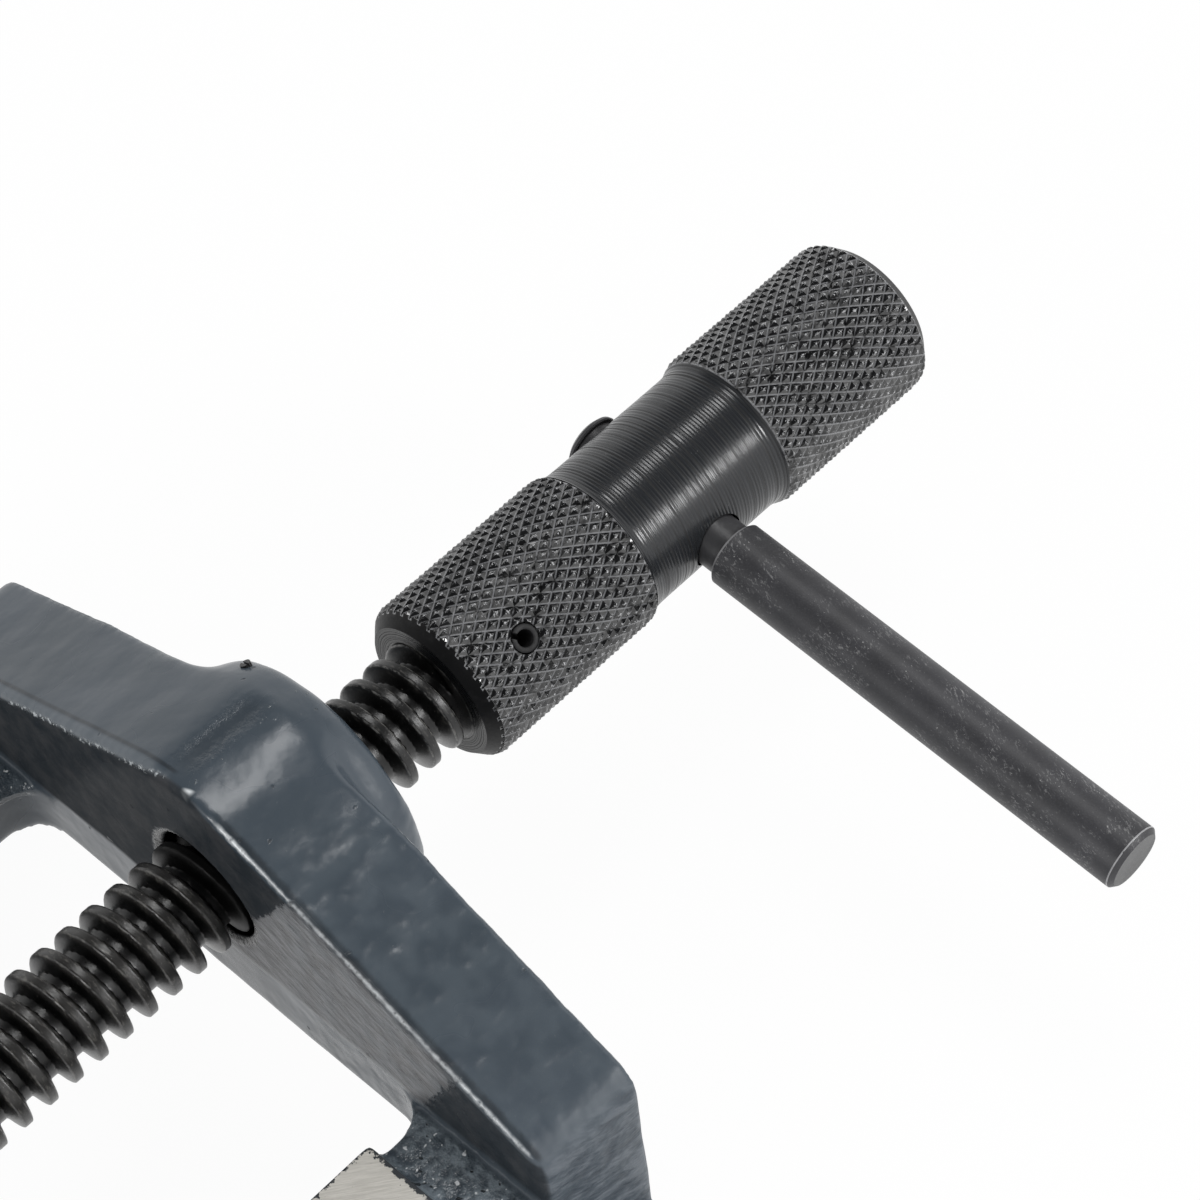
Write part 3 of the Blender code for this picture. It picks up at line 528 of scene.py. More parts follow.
def casting(name, node, lumpiness, faces, *finishes, add_stock=None, rubbed=()):
    """The rough casting of a CAD node: fillets and lumps, with spare metal where it is machined later."""
    form = bmesh.new()
    form.from_mesh(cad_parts[node].data)
    if add_stock:
        add_stock(form)
    made = piece(name, shaped(form, name), *finishes)
    mould = made.modifiers.new("sand mould", "REMESH")
    mould.mode = "VOXEL"
    mould.voxel_size = sand_grain
    fillets = made.modifiers.new("cast fillets", "SMOOTH")
    fillets.factor = 0.5
    fillets.iterations = sand_softening
    mesh = settled(made)
    for weigh, passes in rubbed:
        mesh = rub(made, weigh(read_points(mesh)), passes)
    points = read_points(mesh)
    normals = read_points(mesh, "vertices", "normal")
    weights = lumpiness(points)
    for i, weight in enumerate(weights):
        if weight:
            spot = Vector(points[i])
            swell = 0.13 * noise.noise(spot / broad_swell) + 0.07 * noise.noise(spot / fine_swell)
            points[i] += normals[i] * (swell * MM * weight)
    mesh.vertices.foreach_set("co", points.ravel())
    mesh.update()
    count = sum(len(face.vertices) - 2 for face in mesh.polygons)
    if count > faces:
        thin = made.modifiers.new("fewer faces", "DECIMATE")
        thin.ratio = faces / count
        settled(made)
    return made


def smooth(made, angle=math.radians(40)):
    """Smooth shading, with the sharp edges kept sharp."""
    made.data.shade_smooth()
    made.data.set_sharp_from_angle(angle=angle)
    return made


def mark_flat(made, height, slot):
    """Gives the faces that lie flat at a height the finish in a slot."""
    mesh = made.data
    slots = np.zeros(len(mesh.polygons), np.int32)
    mesh.polygons.foreach_get("material_index", slots)
    slots[np.abs(read_points(mesh, "polygons", "center")[:, 2] - height) < 0.01 * MM] = slot
    mesh.polygons.foreach_set("material_index", slots)


def body_lumps(points):
    """Lumps on the outside, fuller on the bridge, and none where the jaw and the keeper plate slide."""
    x, y, z = points.T
    across = np.abs(y)
    sliding = (across < way_inner + 2 * MM) & (x < way_end) & (z < way_top + 1 * MM)
    under = (z < way_under + 1 * MM) & (z > way_under - 2 * MM) & (across < keeper_side)
    off_axis = np.hypot(y, z - screw_height)
    bridge = (x > bridge_face - 1 * MM) & (z > screw_height + 1 * MM) & (off_axis > 14 * MM)
    return np.where(sliding | under, 0.0, np.where(bridge, 1.7, 1.0))


def ramp(values, low, high):
    """0 at low, 1 at high and even in between; high may be the smaller one."""
    return np.clip((values - low) / (high - low), 0, 1)


def boss_fillet(points):
    """The wide fillet over the top and the far side, where the bridge runs into its boss."""
    x, y, z = points.T
    beside = ramp(y, -17 * MM, -9 * MM) * ramp(y, 34 * MM, 22 * MM)
    return ramp(np.abs(x - boss_root), 7 * MM, 4.5 * MM) * beside * ramp(z, 44 * MM, 48 * MM)


def far_edge(points):
    """The softer inner edge of the bridge on its far half."""
    x, y, z = points.T
    off_edge = np.hypot(x - bridge_face, z - roof_height(y))
    return ramp(off_edge, 3.6 * MM, 2.2 * MM) * ramp(y, -1 * MM, 3 * MM)


def body_stock(form):
    """Spare metal on the way tops, and a flare that leads the bridge's crest into the boss."""
    for side in (1, -1):
        near, far = sorted((side * way_inner, side * way_outer))
        box_into(form, (way_start, near, way_top - 2 * MM), (way_end, far, way_top + way_stock))
    middle = Vector(((flare_start + flare_end) / 2, 0, screw_height + 0.9 * MM))
    flare = bmesh.ops.create_cone(
        form,
        cap_ends=True,
        segments=96,
        radius1=crest_radius - 0.7 * MM,
        radius2=boss_radius + 0.4 * MM,
        depth=flare_end - flare_start,
        matrix=Matrix.Translation(middle) @ Matrix.Rotation(math.radians(90), 4, "Y"),
    )
    for corner in flare["verts"]:
        arm = corner.co - middle
        turn = math.degrees(math.atan2(arm.y, arm.z))
        share = min(max((turn + 50) / 30, 0), 1) * min(max((140 - turn) / 40, 0), 1)
        arm.x = 0
        inner = boss_radius - 1.5 * MM
        corner.co -= arm * (1 - (inner + (arm.length - inner) * share) / arm.length)


vise_casting = casting(
    "base_casting",
    "vise_body",
    body_lumps,
    body_faces,
    BridgeEnamel("slate_enamel_body"),
    GroundWay("ground_way"),
    add_stock=body_stock,
    rubbed=[(boss_fillet, 32), (far_edge, 10)],
)
cut(
    vise_casting,
    tool_box(
        (way_start + 0.5 * MM, -grinding_side, way_top),
        (way_end + 0.6 * MM, grinding_side, way_top + grinding_reach),
    ),
    tool_box((-grinding_side, -underside_side, -grinding_reach), (underside_end, underside_side, 0)),
)
mark_flat(vise_casting, way_top, 1)
mark_flat(vise_casting, 0, 1)
smooth(vise_casting)
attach(vise_casting, "base")
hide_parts("vise_body")


# Grub screw: a short black stud in the top of the bridge's boss, slotted for a driver.
# It is steel, blackened, and stands a little way out of the paint.
def black_steel(name, tone=seen(26, 26, 26), worn=seen(84, 83, 80), roughness=0.36, shine=0.5):
    """Oiled black oxide on steel: near black, rubbed to grey here and there."""
    made = Finish(name, Specular_IOR_Level=shine)
    rub_marks = made.between(made.cloud(2.4 * MM, 5.0, 0.7), 0.52, 0.78)
    grit = made.cloud(0.35 * MM, 2.0)
    made.tone = made.mix(rub_marks * 0.35, tone, worn)
    made.emboss(grit, 0.012 * MM)
    made.finished(Roughness=grit * 0.2 + (roughness - 0.1))
    return made


def dress(node, finish, edge=0.25 * MM):
    """Gives a CAD node a finish and breaks its sharp edges."""
    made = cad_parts[node]
    made.data.materials.clear()
    made.data.materials.append(finish.material)
    broken = made.modifiers.new("broken edges", "BEVEL")
    broken.width = edge
    broken.segments = 2
    broken.limit_method = "ANGLE"
    broken.angle_limit = math.radians(45)
    broken.harden_normals = True
    smooth(made, math.radians(35))


fastener_black = black_steel("black_fasteners")
dress("boss_grub_screw", fastener_black, 0.1 * MM)

# Fixed jaw plate: hardened tool steel, ground on its face and held by two countersunk socket screws.
# The screws are black oxide, with their heads just under the clamping face.
plate_steel = GroundSteel("ground_jaw_plate", (math.radians(90), 0, math.radians(90)))
dress("fixed_jaw_plate", plate_steel)
for side in ("left", "right"):
    dress("fixed_jaw_screw_" + side, fastener_black, 0.3 * MM)


# Moving jaw: a second casting in the same enamel, machined underneath where it slides on the ways.
# A tongue below it fills the gap between the ways and keeps it straight.
def jaw_lumps(points):
    """Full lumps on the painted outside, and none on the tongue and the sliding face."""
    return np.where(points[:, 2] < way_top + 2.5 * MM, 0.0, 1.0)


jaw_faces = 90000
jaw_paint = SlateEnamel("slate_enamel_jaw")
moving_casting = casting("moving_jaw_casting", "moving_jaw", jaw_lumps, jaw_faces, jaw_paint)
smooth(moving_casting)
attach(moving_casting, "slide")
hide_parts("moving_jaw")

# Moving jaw plate: like the fixed one, with a level and an upright V groove that hold round stock.
# Two countersunk socket screws hold it to the casting.
dress("moving_jaw_plate", plate_steel)
for side in ("left", "right"):
    dress("moving_jaw_screw_" + side, fastener_black, 0.3 * MM)

# Keeper plate: black flat bar that runs under the ways and stops the jaw from lifting.
# Two zinc-plated bolts with washers pull it up to the tongue.
keeper_black = black_steel("black_keeper", seen(34, 33, 32), seen(96, 93, 88), 0.42)
dress("keeper_plate", keeper_black, 0.4 * MM)


def zinc_plate(name):
    """Bright zinc plating with a faint mottle."""
    made = Finish(name, Metallic=1.0)
    mottle = made.cloud(1.6 * MM, 4.0, 0.6)
    made.tone = made.mix(mottle, seen(186, 187, 184), seen(214, 214, 208))
    made.emboss(mottle, 0.01 * MM)
    made.finished(Roughness=mottle * 0.2 + 0.2)
    return made


bright_zinc = zinc_plate("bright_zinc")
for side in ("left", "right"):
    dress("keeper_washer_" + side, bright_zinc, 0.15 * MM)
    dress("keeper_bolt_" + side, bright_zinc, 0.4 * MM)

# Thrust button and retainer: the screw's tip pushes on a hard steel button inside the jaw.
# A forked plate in the tip's groove pulls the jaw back, held by two slotted screws.
dress("thrust_button", plate_steel)
dress("retainer_plate", keeper_black, 0.4 * MM)
for side in ("left", "right"):
    dress("retainer_screw_" + side, bright_zinc, 0.25 * MM)

# Lead screw: turned steel with a coarse six-per-inch thread, blackened and oiled.
# Its crests are rounded and rubbed grey, and oil and dust lie dark in the roots.
thread_pitch = 25.4 / 6 * MM
thread_radius = 7.94 * MM
thread_root = 5.5 * MM
thread_phase = math.radians(40)
crest_share = 0.11
crest_flat_share = 0.12
root_flat_share = 0.37
screw_columns = 96
rows_per_pitch = 24
tip_start = 54.3 * MM
tip_radius = 5.9 * MM
groove_start = 65.0 * MM
groove_radius = 4.3 * MM
groove_end = 69.6 * MM
thread_start = 72.8 * MM
hub_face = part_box("handle_hub")[0].x
hub_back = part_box("handle_hub")[1].x
thread_end = hub_face + 0.05 * MM
hub_bore_radius = thread_radius + 0.3 * MM
screw_end = hub_face + 33.7 * MM


def turned_skin(name, rows, radii, columns, where, *finishes):
    """A closed skin round an axis along X, from its radius at each place along and each column round it."""
    rows = np.asarray(rows)
    turns = np.arange(columns) * (math.tau / columns)
    radii = np.broadcast_to(radii, (len(rows), columns))
    along = np.broadcast_to(rows[:, None], radii.shape)
    grid = np.stack([along, radii * np.cos(turns), radii * np.sin(turns)], 2)
    ends = [(rows[0], 0, 0), (rows[-1], 0, 0)]
    points = np.concatenate([grid.reshape(-1, 3), np.array(ends)])
    index = np.arange(len(rows) * columns).reshape(len(rows), columns)
    beside = np.roll(index, -1, axis=1)
    quads = np.stack([index[:-1], beside[:-1], beside[1:], index[1:]], 2).reshape(-1, 4)
    near, far = len(points) - 2, len(points) - 1
    caps = [(near, int(b), int(a)) for a, b in zip(index[0], beside[0])]
    caps += [(far, int(a), int(b)) for a, b in zip(index[-1], beside[-1])]
    mesh = bpy.data.meshes.new(name)
    mesh.from_pydata(points.tolist(), [], quads.tolist() + caps)
    mesh.transform(where)
    mesh.update()
    return piece(name, mesh, *finishes)


def thread_height(x, turns):
    """How far up the thread stands, from 0 in the root to 1 on the crest, along and round the screw."""
    lead = (x[:, None] - (thread_start - thread_pitch)) / thread_pitch - (turns - thread_phase) / math.tau
    offset = lead - crest_share
    from_crest = np.abs(offset - np.round(offset))
    climb = np.clip((root_flat_share - from_crest) / (root_flat_share - crest_flat_share), 0, 1)
    return 1 - (1 - climb ** 1.5) ** 2


screw_place = Matrix.Translation((0, 0, screw_height))
screw_turns = np.arange(screw_columns) * (math.tau / screw_columns)
thread_rows = np.arange(thread_start, thread_end, thread_pitch / rows_per_pitch)
height = thread_height(thread_rows, screw_turns)
start_share = np.clip((thread_rows - thread_start) / (2.5 * MM), 0, 1)[:, None]
thread_skin = thread_root + (thread_radius - thread_root) * height * start_share
plain_before = [
    (tip_start, 0.2 * MM),
    (tip_start, tip_radius - 0.8 * MM),
    (tip_start + 0.8 * MM, tip_radius),
    (groove_start - 0.2 * MM, tip_radius),
    (groove_start, tip_radius - 0.2 * MM),
    (groove_start, groove_radius),
    (groove_end, groove_radius),
    (groove_end, tip_radius - 0.8 * MM),
    (groove_end + 0.8 * MM, tip_radius),
    (thread_start - 0.2 * MM, tip_radius),
    (thread_start - 0.1 * MM, thread_root),
]
plain_after = [
    (thread_end, thread_root),
    (thread_end, hub_bore_radius - 0.05 * MM),
    (thread_end + 0.2 * MM, hub_bore_radius - 0.05 * MM),
    (thread_end + 0.4 * MM, thread_radius),
    (screw_end - 0.8 * MM, thread_radius),
    (screw_end, thread_radius - 0.8 * MM),
]
screw_rows = [x for x, r in plain_before] + list(thread_rows) + [x for x, r in plain_after]
screw_radii = np.concatenate(
    [
        np.repeat([[r] for x, r in plain_before], screw_columns, axis=1),
        thread_skin,
        np.repeat([[r] for x, r in plain_after], screw_columns, axis=1),
    ]
)


def oiled_thread(name):
    """Black oxide on a thread: rubbed crests with a painted highlight on their rim, dark roots, and oil and
    painted shade inside the bore.
    """
    made = Finish(name, Metallic=0.1)
    x, y, z = made.axes()
    outward = made.off_axis(y, z)
    crest = made.between(outward, thread_root + 0.9 * MM, thread_radius - 0.1 * MM)
    rim_foot = thread_radius - 0.32 * MM
    rim = made.span(outward, rim_foot, rim_foot + 0.12 * MM, rim_foot + 0.25 * MM, rim_foot + 0.3 * MM)
    streaks = made.cloud(0.45 * MM, 4.0, 0.65, made.stretch((1, 0.3, 0.3)))
    blotch = made.cloud(3.0 * MM, 4.0, 0.6)
    grit = made.cloud(0.32 * MM, 3.0, 0.7)
    specks = made.between(made.cloud(0.30 * MM, 1.0), 0.74, 0.80)
    near_hub = made.between(x, 188 * MM, 200 * MM)
    in_bore_oil_and_shade = made.span(x - bridge_face, -3 * MM, -1 * MM, 11 * MM, 13 * MM)
    worn = made.mix(near_hub, seen(40, 39, 38), seen(27, 27, 27))
    made.tone = made.mix(crest * made.between(blotch, 0.05, 0.55), seen(13, 13, 13), worn)
    # Painted highlight: a thin bright line on the crest's rim, stronger near the hub.
    made.tint(rim * (near_hub * 0.4 + 0.2) * made.between(streaks, 0.40, 0.6), seen(150, 149, 146))
    made.tint(crest * made.between(streaks, 0.52, 0.72) * 0.5, seen(112, 110, 105))
    made.tint(specks * 0.35, seen(170, 168, 162))
    # Inside the bore the thread is toned near black and dulled: oil and painted shade.
    made.tint(in_bore_oil_and_shade * 0.9, seen(7, 7, 7))
    made.emboss(made.cloud(0.9 * MM, 3.0, 0.6), 0.005 * MM)
    made.emboss(grit, 0.016 * MM)
    made.finished(Roughness=grit * 0.2 + 0.21)
    bore_oil_and_shade_tone = made.mix(made.between(blotch, 0.4, 0.6), seen(6, 6, 6), seen(13, 13, 13))
    oil_and_shade = {"Base Color": bore_oil_and_shade_tone, "Roughness": 0.5, "Specular IOR Level": 0.1}
    made.cover(in_bore_oil_and_shade * 0.92, made.node("BsdfPrincipled", None, oil_and_shade))
    return made


thread_black = oiled_thread("oiled_thread")
screw = turned_skin("threaded_screw", screw_rows, screw_radii, screw_columns, screw_place, thread_black)
smooth(screw)
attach(screw, "spindle")
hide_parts("lead_screw")

# Hub: one inch round bar, diamond-knurled at both ends and turned down at the waist.
# It is blackened like the screw. Its ends are chamfered, and the waist keeps the turning tool's fine rings.
hub_radius = 12.7 * MM
hub_chamfer = 2.1 * MM
knurl_count = 42
knurl_columns = knurl_count * 8
knurl_along = 1.35 * MM
knurl_depth = 0.56 * MM
knurl_step = knurl_along / 4
knurl_wear = 0.012 * MM
knurl_seed = 42
front_knurl_end = hub_face + 31.5 * MM
rear_knurl_start = hub_face + 58.2 * MM
waist_radius = 11.65 * MM
waist_ring = 0.55 * MM
waist_ring_depth = 0.05 * MM
waist_flare = 0.55 * MM
waist_columns = 120
shoulder_round = 0.7 * MM


def knurl_rows(start, end, chamfer_start, chamfer_end):
    """Places along a knurled band, and the radii there: rows of pointed diamonds between grooves."""
    rows = start + np.arange(math.ceil((end - start) / knurl_step)) * knurl_step
    rows = np.append(rows, end)
    around = knurl_count * np.arange(knurl_columns) / knurl_columns
    along = (rows[:, None] - start) / (2 * knurl_along)
    rise = np.minimum(*[np.abs(grid - np.round(grid)) * 2 for grid in (around - along, around + along)])
    worn = np.random.default_rng(knurl_seed).normal(0, knurl_wear, rise.shape)
    radii = hub_radius - knurl_depth * (1 - rise) + worn
    drop_start = np.clip(chamfer_start - (rows - start), 0, None)
    drop_end = np.clip(chamfer_end - (end - rows), 0, None)
    limit = hub_radius - np.maximum(drop_start, drop_end)[:, None]
    return rows, np.minimum(radii, limit)


def crease_knurl(made):
    """Splits each square of a knurled skin along the groove that crosses it, for crisp grooves."""
    form = bmesh.new()
    form.from_mesh(made.data)
    form.faces.ensure_lookup_table()
    per_turn = knurl_columns // knurl_count
    leaning, rising = [], []
    for face in form.faces:
        if len(face.verts) == 4:
            row, column = divmod(face.index, knurl_columns)
            (leaning if (column - row) % per_turn in (0, per_turn // 2) else rising).append(face)
    for faces, method in ((leaning, "FIXED"), (rising, "ALTERNATE")):
        bmesh.ops.triangulate(form, faces=faces, quad_method=method)
    form.to_mesh(made.data)
    form.free()


def knurled_black(name):
    """Black oxide over a knurl: painted shade towards the grooves, points rubbed bright with painted glints,
    a painted highlight along the grooves, oil in patches.
    """
    made = Finish(name, Specular_IOR_Level=0.9, Coat_Roughness=0.08)
    _, y, z = made.axes()
    outward = made.off_axis(y, z)
    groove = hub_radius - knurl_depth
    rise = made.between(outward, groove, hub_radius)
    painted_groove_highlight = made.within(outward, groove + 0.03 * MM, groove + 0.12 * MM)
    grit = made.cloud(0.22 * MM, 3.0, 0.7)
    blotch = made.cloud(2.2 * MM, 3.0, 0.6)
    rubbed_points_and_glints = made.between(grit + rise * 0.3, 0.76, 0.88)
    oily = made.between(made.cloud(2.8 * MM, 2.0), 0.42, 0.6)
    # Painted shade: the knurl is toned darker towards its grooves, and varies in blotches.
    made.tone = made.mix(rise * 0.6 + blotch * 0.4, seen(4, 4, 5), seen(22, 23, 25))
    # Points rubbed bright, which are also painted glints, and a painted highlight on some groove bottoms.
    made.tint(rubbed_points_and_glints * 0.8, seen(205, 206, 208))
    made.tint(painted_groove_highlight * made.between(blotch, 0.35, 0.5) * 0.55, seen(160, 161, 164))
    made.emboss(grit, 0.012 * MM)
    made.finished(Roughness=grit * 0.12 + 0.08, Coat_Weight=oily * 0.8)
    return made


def turned_black(name, across=False, shine=0.5):
    """Black oxide over turned steel, with fine rings from the tool, painted darker in their grooves: along
    the axis, or across a faced end.
    """
    made = Finish(name, Specular_IOR_Level=shine)
    x, y, z = made.axes()
    step = made.off_axis(y, z) if across else x
    width = (0.22 if across else 0.45) * MM
    pattern = {"W": step, "Scale": 1 / width, "Detail": 4.0, "Roughness": 0.7}
    rings = made.node("TexNoise", {"noise_dimensions": "1D"}, pattern)
    blotch = made.cloud(3.0 * MM, 4.0, 0.65)
    scuffs = made.between(made.cloud(0.35 * MM, 2.0), 0.72, 0.8)
    crests = made.between(rings, 0.41, 0.50)
    # Painted shade: the rings are toned dark in their grooves and lighter on their crests.
    made.tone = made.mix(crests, seen(8, 9, 11), seen(26, 27, 29) if across else seen(36, 38, 41))
    made.tint(made.between(blotch, 0.6, 0.8) * 0.2, seen(80, 80, 80))
    made.tint(scuffs * 0.4, seen(150, 150, 150))
    made.emboss(rings, 0.020 * MM)
    made.finished(Roughness=0.5 - crests * 0.30)
    return made


def tool_rod(start, end, radius, columns=64):
    """A closed rod that cuts, such as a drill."""
    start, end = Vector(start), Vector(end)
    form = bmesh.new()
    run = end - start
    where = Matrix.Translation((start + end) / 2) @ run.to_track_quat("Z", "Y").to_matrix().to_4x4()
    bmesh.ops.create_cone(
        form, cap_ends=True, segments=columns, radius1=radius, radius2=radius, depth=run.length, matrix=where
    )
    return piece("drill", shaped(form, "drill"))


knurl_finishes = (
    knurled_black("knurled_black"),
    turned_black("faced_black", across=True, shine=0.2),
    black_steel("chamfer_black", seen(12, 12, 13), seen(52, 52, 52), 0.45, shine=0.2),
)
hub_turned = turned_black("turned_black")
hub_middle = Vector(((hub_face + hub_back) / 2, 0, screw_height))
screw_axis = Vector((0, 0, screw_height))
bar_droop = math.radians(5.5)
bar_way = Vector((0, -math.cos(bar_droop), -math.sin(bar_droop)))
bar_hole_radius = 4.3 * MM
pin_angle = math.radians(135.2)
pin_way = Vector((0, math.cos(pin_angle), math.sin(pin_angle)))
pin_middle = Vector((hub_face + 10.5 * MM, 0, screw_height))
pin_radius = 1.98 * MM
pin_hole_radius = pin_radius + 0.2 * MM
reach = 20 * MM

rows, radii = knurl_rows(hub_face, front_knurl_end, hub_chamfer, shoulder_round)
front_knurl = turned_skin("hub_front_knurl", rows, radii, knurl_columns, screw_place, *knurl_finishes)
crease_knurl(front_knurl)
cut(
    front_knurl,
    tool_rod(
        screw_axis + Vector((hub_face - 1 * MM, 0, 0)),
        screw_axis + Vector((front_knurl_end + 1 * MM, 0, 0)),
        hub_bore_radius,
    ),
    tool_rod(pin_middle - pin_way * reach, pin_middle + pin_way * reach, pin_hole_radius, 48),
)
rows, radii = knurl_rows(rear_knurl_start, hub_back, shoulder_round, hub_chamfer)
rear_knurl = turned_skin("hub_rear_knurl", rows, radii, knurl_columns, screw_place, *knurl_finishes)
crease_knurl(rear_knurl)
for knurl in (front_knurl, rear_knurl):
    for face in knurl.data.polygons:
        off_end = min(face.center.x - hub_face, hub_back - face.center.x)
        if off_end < hub_chamfer - knurl_depth * 0.8 and abs(face.normal.x) > 0.55:
            face.material_index = 1 if off_end < 0.1 * MM else 2
waist_rows = np.arange(front_knurl_end, rear_knurl_start, waist_ring / 6)
waist_turns = np.arange(waist_columns) * (math.tau / waist_columns)
ring = np.abs(np.sin(math.pi * (waist_rows[:, None] / waist_ring - waist_turns / math.tau))) ** 0.8
near_end = np.minimum(waist_rows - front_knurl_end, rear_knurl_start - waist_rows)[:, None]
waist_radii = waist_radius + waist_flare * np.exp(-near_end / (0.7 * MM)) - waist_ring_depth * (1 - ring)
waist = turned_skin("hub_waist", waist_rows, waist_radii, waist_columns, screw_place, hub_turned)
cut(waist, tool_rod(hub_middle - bar_way * reach, hub_middle + bar_way * reach, bar_hole_radius))
for part, angle in ((front_knurl, 18), (rear_knurl, 18), (waist, 60)):
    smooth(part, math.radians(angle))
    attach(part, "spindle")
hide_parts("handle_hub")

# Roll pin: a slit tube of spring steel driven through the hub and the screw's shank.
# It is blackened, and sits just below the knurl. Its slit faces the crank bar's neck.
pin_bore = 1.2 * MM
pin_slit = 0.72 * MM
pin_slit_turn = math.radians(43)
pin_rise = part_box("hub_roll_pin")[1].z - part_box("hub_roll_pin")[0].z
pin_length = (pin_rise - 2 * pin_radius * abs(pin_way.y)) / abs(pin_way.z)
pin_steps = 40


def slit_tube(name, finish):
    """A tube with a slit along it, its ends rounded over a little."""
    half_gap = [math.asin(pin_slit / 2 / r) for r in (pin_radius, pin_bore)]
    loop = []
    for radius, gap, forwards in ((pin_radius, half_gap[0], True), (pin_bore, half_gap[1], False)):
        turns = np.linspace(gap, math.tau - gap, pin_steps)
        loop += [(radius * math.cos(t), radius * math.sin(t)) for t in (turns if forwards else turns[::-1])]
    form = bmesh.new()
    rows = [[form.verts.new((u, v, side * pin_length / 2)) for u, v in loop] for side in (-1, 1)]
    count = len(loop)
    for i in range(count):
        form.faces.new((rows[0][i], rows[0][(i + 1) % count], rows[1][(i + 1) % count], rows[1][i]))
    for row in rows:
        for i in range(pin_steps - 1):
            form.faces.new((row[i], row[i + 1], row[count - 2 - i], row[count - 1 - i]))
    bmesh.ops.recalc_face_normals(form, faces=form.faces)
    aim = pin_way.to_track_quat("Z", "X").to_matrix().to_4x4()
    form.transform(Matrix.Translation(pin_middle) @ aim @ Matrix.Rotation(pin_slit_turn, 4, "Z"))
    return piece(name, shaped(form, name), finish)


pin_black = black_steel("black_pin", seen(30, 30, 31), seen(80, 80, 80), 0.50, shine=0.2)
roll_pin = slit_tube("slit_roll_pin", pin_black)
broken = roll_pin.modifiers.new("broken edges", "BEVEL")
broken.width = 0.12 * MM
broken.segments = 2
broken.angle_limit = math.radians(50)
settled(roll_pin)
smooth(roll_pin, math.radians(35))
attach(roll_pin, "spindle")
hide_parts("hub_roll_pin")

# Crank bar: round steel bar, turned down to a neck that passes through the waist.
# The far end is peened over. The bar is dark and satin, scuffed light by handling, its faced end rubbed grey.
bar_radius = 4.87 * MM
bar_shoulder = 14.4 * MM
bar_end = 84.7 * MM
bar_chamfer = 0.7 * MM
bar_rim = 0.13 * MM
shoulder_break = 0.4 * MM
neck_radius = 3.95 * MM
peen_start = -11.95 * MM
peen_height = 1.5 * MM
peen_radius = 4.6 * MM
bar_columns = 96


def scuffed_bar(name):
    """Satin black steel with clusters of fine light scratches and specks from handling."""
    made = Finish(name)
    haze = made.cloud(12.0 * MM, 4.0, 0.6)
    cluster = made.between(made.cloud(6.0 * MM, 4.0, 0.65), 0.45, 0.60)
    scratches = made.cloud(0.34 * MM, 4.0, 0.75, made.stretch((1, 0.3, 1), (0, 0, math.radians(25))))
    nicks = made.between(made.cloud(0.36 * MM, 4.0, 0.75), 0.645, 0.69)
    grit = made.cloud(0.25 * MM, 2.0)
    made.tone = made.mix(made.between(haze, 0.3, 0.7), seen(42, 42, 45), seen(56, 56, 60))
    made.tint(made.between(grit, 0.4, 0.8) * 0.25, seen(80, 80, 83))
    made.tint(cluster * made.between(scratches, 0.54, 0.64) * 0.5, seen(146, 146, 146))
    made.tint(nicks * (cluster * 0.8 + 0.15), seen(205, 205, 203))
    made.emboss(grit, 0.012 * MM)
    made.finished(Roughness=grit * 0.12 + 0.42)
    return made


def turned_end(name):
    """The bar's faced end: rubbed to grey, lighter in places."""
    made = Finish(name)
    grit = made.cloud(0.4 * MM, 4.0, 0.7)
    shade = made.cloud(5.0 * MM, 2.0)
    made.tone = made.mix(made.between(shade, 0.35, 0.65), seen(42, 43, 44), seen(66, 67, 68))
    made.tint(made.between(grit, 0.45, 0.7) * 0.4, seen(100, 100, 98))
    made.emboss(grit, 0.02 * MM)
    made.finished(Roughness=0.4)
    return made


bar_profile = [
    (peen_start - peen_height, 0.3 * MM),
    (peen_start - peen_height * 0.98, peen_radius * 0.45),
    (peen_start - peen_height * 0.80, peen_radius * 0.80),
    (peen_start - peen_height * 0.45, peen_radius * 0.97),
    (peen_start - peen_height * 0.15, peen_radius),
    (peen_start, peen_radius * 0.97),
    (peen_start, neck_radius),
    (bar_shoulder, neck_radius),
    (bar_shoulder, bar_radius - shoulder_break),
    (bar_shoulder + shoulder_break, bar_radius),
    (bar_end - bar_chamfer - bar_rim, bar_radius),
    (bar_end - bar_chamfer, bar_radius),
    (bar_end - bar_chamfer * 0.9, bar_radius - bar_chamfer * 0.06),
    (bar_end, bar_radius - bar_chamfer),
]
bar_finish = scuffed_bar("scuffed_bar")
end_finish = turned_end("turned_end")
neck_finish = black_steel("black_neck", seen(54, 54, 56), seen(100, 100, 102), 0.40)
# Painted highlight: a light grey ring on the shoulder's edge and at the start of the end's chamfer.
highlight_rim_finish = black_steel("painted_highlight_rim", seen(150, 150, 152), seen(190, 190, 190))
bar_place = Matrix.Translation(hub_middle) @ bar_way.to_track_quat("X", "Z").to_matrix().to_4x4()
crank = turned_skin(
    "scuffed_crank_bar",
    [x for x, r in bar_profile],
    np.array([[r] for x, r in bar_profile]),
    bar_columns,
    bar_place,
    bar_finish,
    end_finish,
    neck_finish,
    highlight_rim_finish,
)
rim_middle = bar_end - bar_chamfer - bar_rim / 2
for face in crank.data.polygons:
    along_bar = (face.center - hub_middle).dot(bar_way)
    if along_bar > bar_end - 0.01 * MM:
        face.material_index = 1
    elif along_bar < bar_shoulder - 0.01 * MM:
        face.material_index = 2
    elif along_bar < bar_shoulder + shoulder_break or abs(along_bar - rim_middle) < 0.1 * MM:
        face.material_index = 3
smooth(crank, math.radians(30))
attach(crank, "crank")
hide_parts("crank_bar")


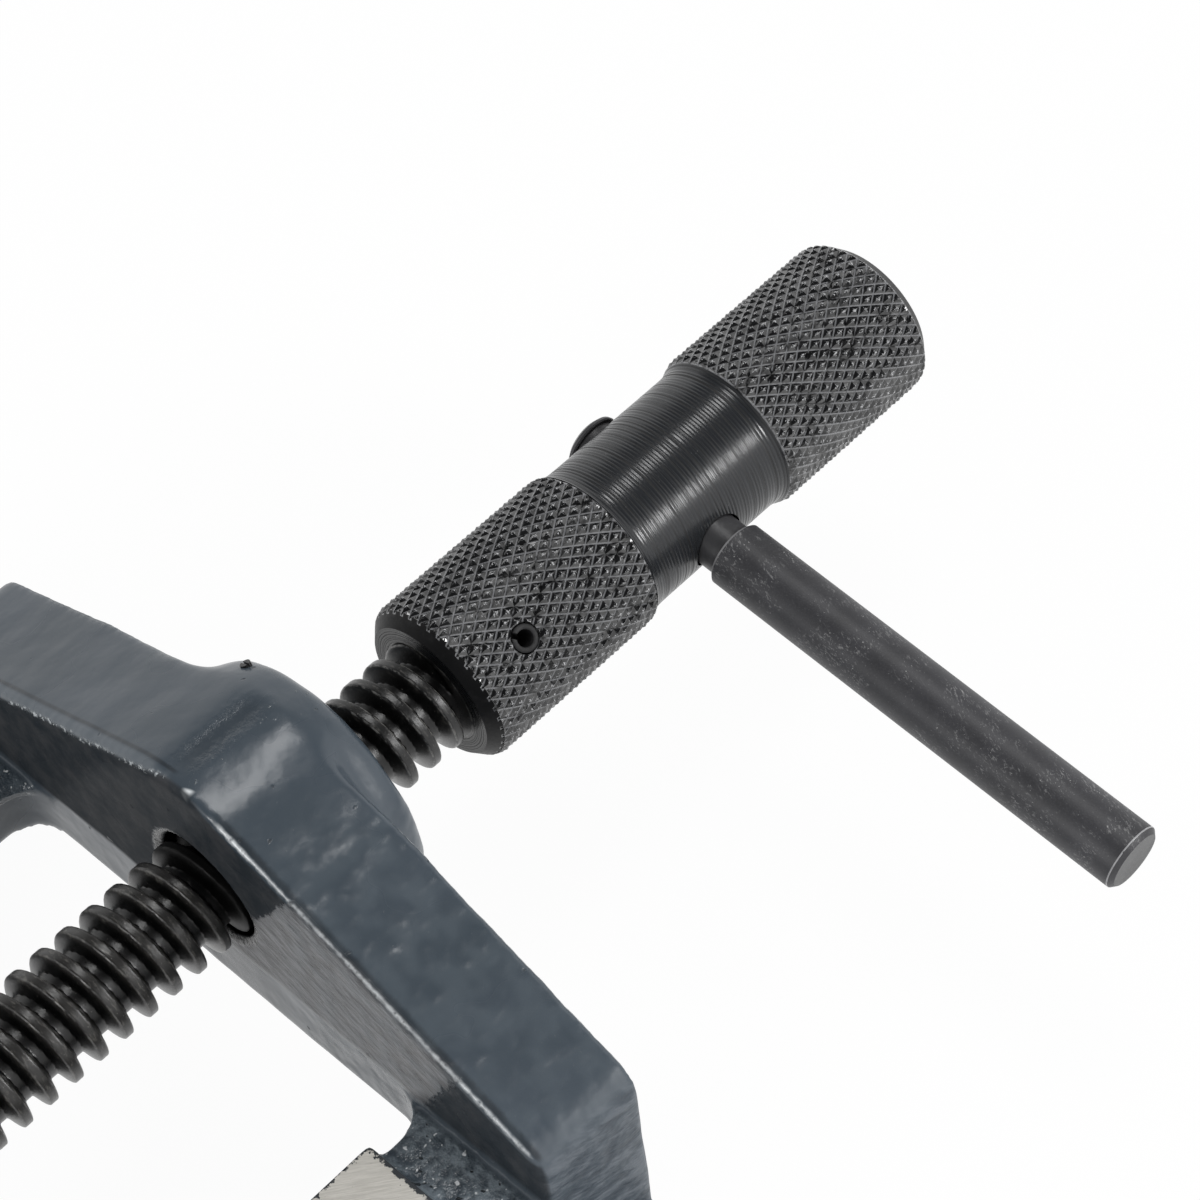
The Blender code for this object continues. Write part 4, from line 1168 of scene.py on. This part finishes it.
# Studio: a wide pale floor, an even white surround, and soft lamps above, in front and low at the left.
# None of it is part of the vise.
def lamp(name, where, wide, high, radiance):
    """A soft light that faces the vise; its power comes from its area and how bright its face looks."""
    light = bpy.data.lights.new(name, "AREA")
    light.shape = "RECTANGLE"
    light.size = wide
    light.size_y = high
    light.energy = radiance * math.pi * wide * high
    made = bpy.data.objects.new(name, light)
    made.location = where
    made.rotation_mode = "QUATERNION"
    made.rotation_quaternion = (vise_middle - Vector(where)).to_track_quat("-Z", "Y")
    made.visible_camera = False
    bpy.context.scene.collection.objects.link(made)


vise_middle = Vector((0.18, 0, 0.04))
lamp("top_lamp", (0.5, 0.1, 1.0), 0.24, 0.40, 9.0)
lamp("front_lamp", (0.82, -1.01, 0.63), 0.38, 0.30, 20.0)
lamp("left_lamp", (-1.25, -0.05, 0.51), 0.4, 0.25, 18.0)

white_share = 0.96
floor_finish = Finish("pale_floor", Roughness=0.9, Base_Color=(0.93, 0.93, 0.93, 1), Specular_IOR_Level=0.0)
direct = floor_finish.ray("Camera") + floor_finish.ray("Glossy") + floor_finish.ray("Transmission")
white = floor_finish.node("Emission", None, {"Color": (1, 1, 1, 1), "Strength": 1.0})
floor_finish.cover(direct * white_share, white)
floor_form = bmesh.new()
bmesh.ops.create_grid(floor_form, x_segments=1, y_segments=1, size=4)
floor = piece("floor", shaped(floor_form, "floor"), floor_finish)
floor.location.z = -0.2 * MM


class Surround(Finish):
    """The light that comes from all round, built up like a finish. Its spot is the way that a ray looks."""

    def __init__(self, name):
        world = bpy.data.worlds.new(name)
        world.use_nodes = True
        bpy.context.scene.world = world
        self.tree = world.node_tree
        self.shader = self.tree.nodes["Background"]
        self.spot = self.node("TexCoord", output="Generated")


surround_level = 0.5
ceiling_level = 0.06
studio = Surround("white surround")
_, _, upward = studio.axes()
ceiling = studio.between(upward, 0.40, 0.72)
mirrored = 1 - ceiling * ((1 - ceiling_level) / (1 - surround_level))
shown = studio.ray("Camera") + studio.ray("Transmission") + studio.ray("Glossy") * mirrored
studio.set(Color=(1, 1, 1, 1), Strength=shown * (1 - surround_level) + surround_level)

# Camera: the photograph's own view, from above the near side, looking along the screw.
view_right = Vector((0.6895, -0.7200, -0.0781)).normalized()
view_up = Vector((0.6070, 0.5157, 0.6046))
view_up = (view_up - view_right * view_up.dot(view_right)).normalized()
camera_data = bpy.data.cameras.new("camera")
camera_data.lens = 108.427
camera_data.sensor_width = 36
camera_data.clip_start = 0.01
camera_data.clip_end = 20
camera = bpy.data.objects.new("camera", camera_data)
camera.matrix_world = Matrix((view_right, view_up, view_right.cross(view_up))).transposed().to_4x4()
camera.location = Vector((53.45, -234.2, 431.24)) * MM
bpy.context.scene.collection.objects.link(camera)
bpy.context.scene.camera = camera
bpy.context.scene.view_settings.view_transform = "Standard"
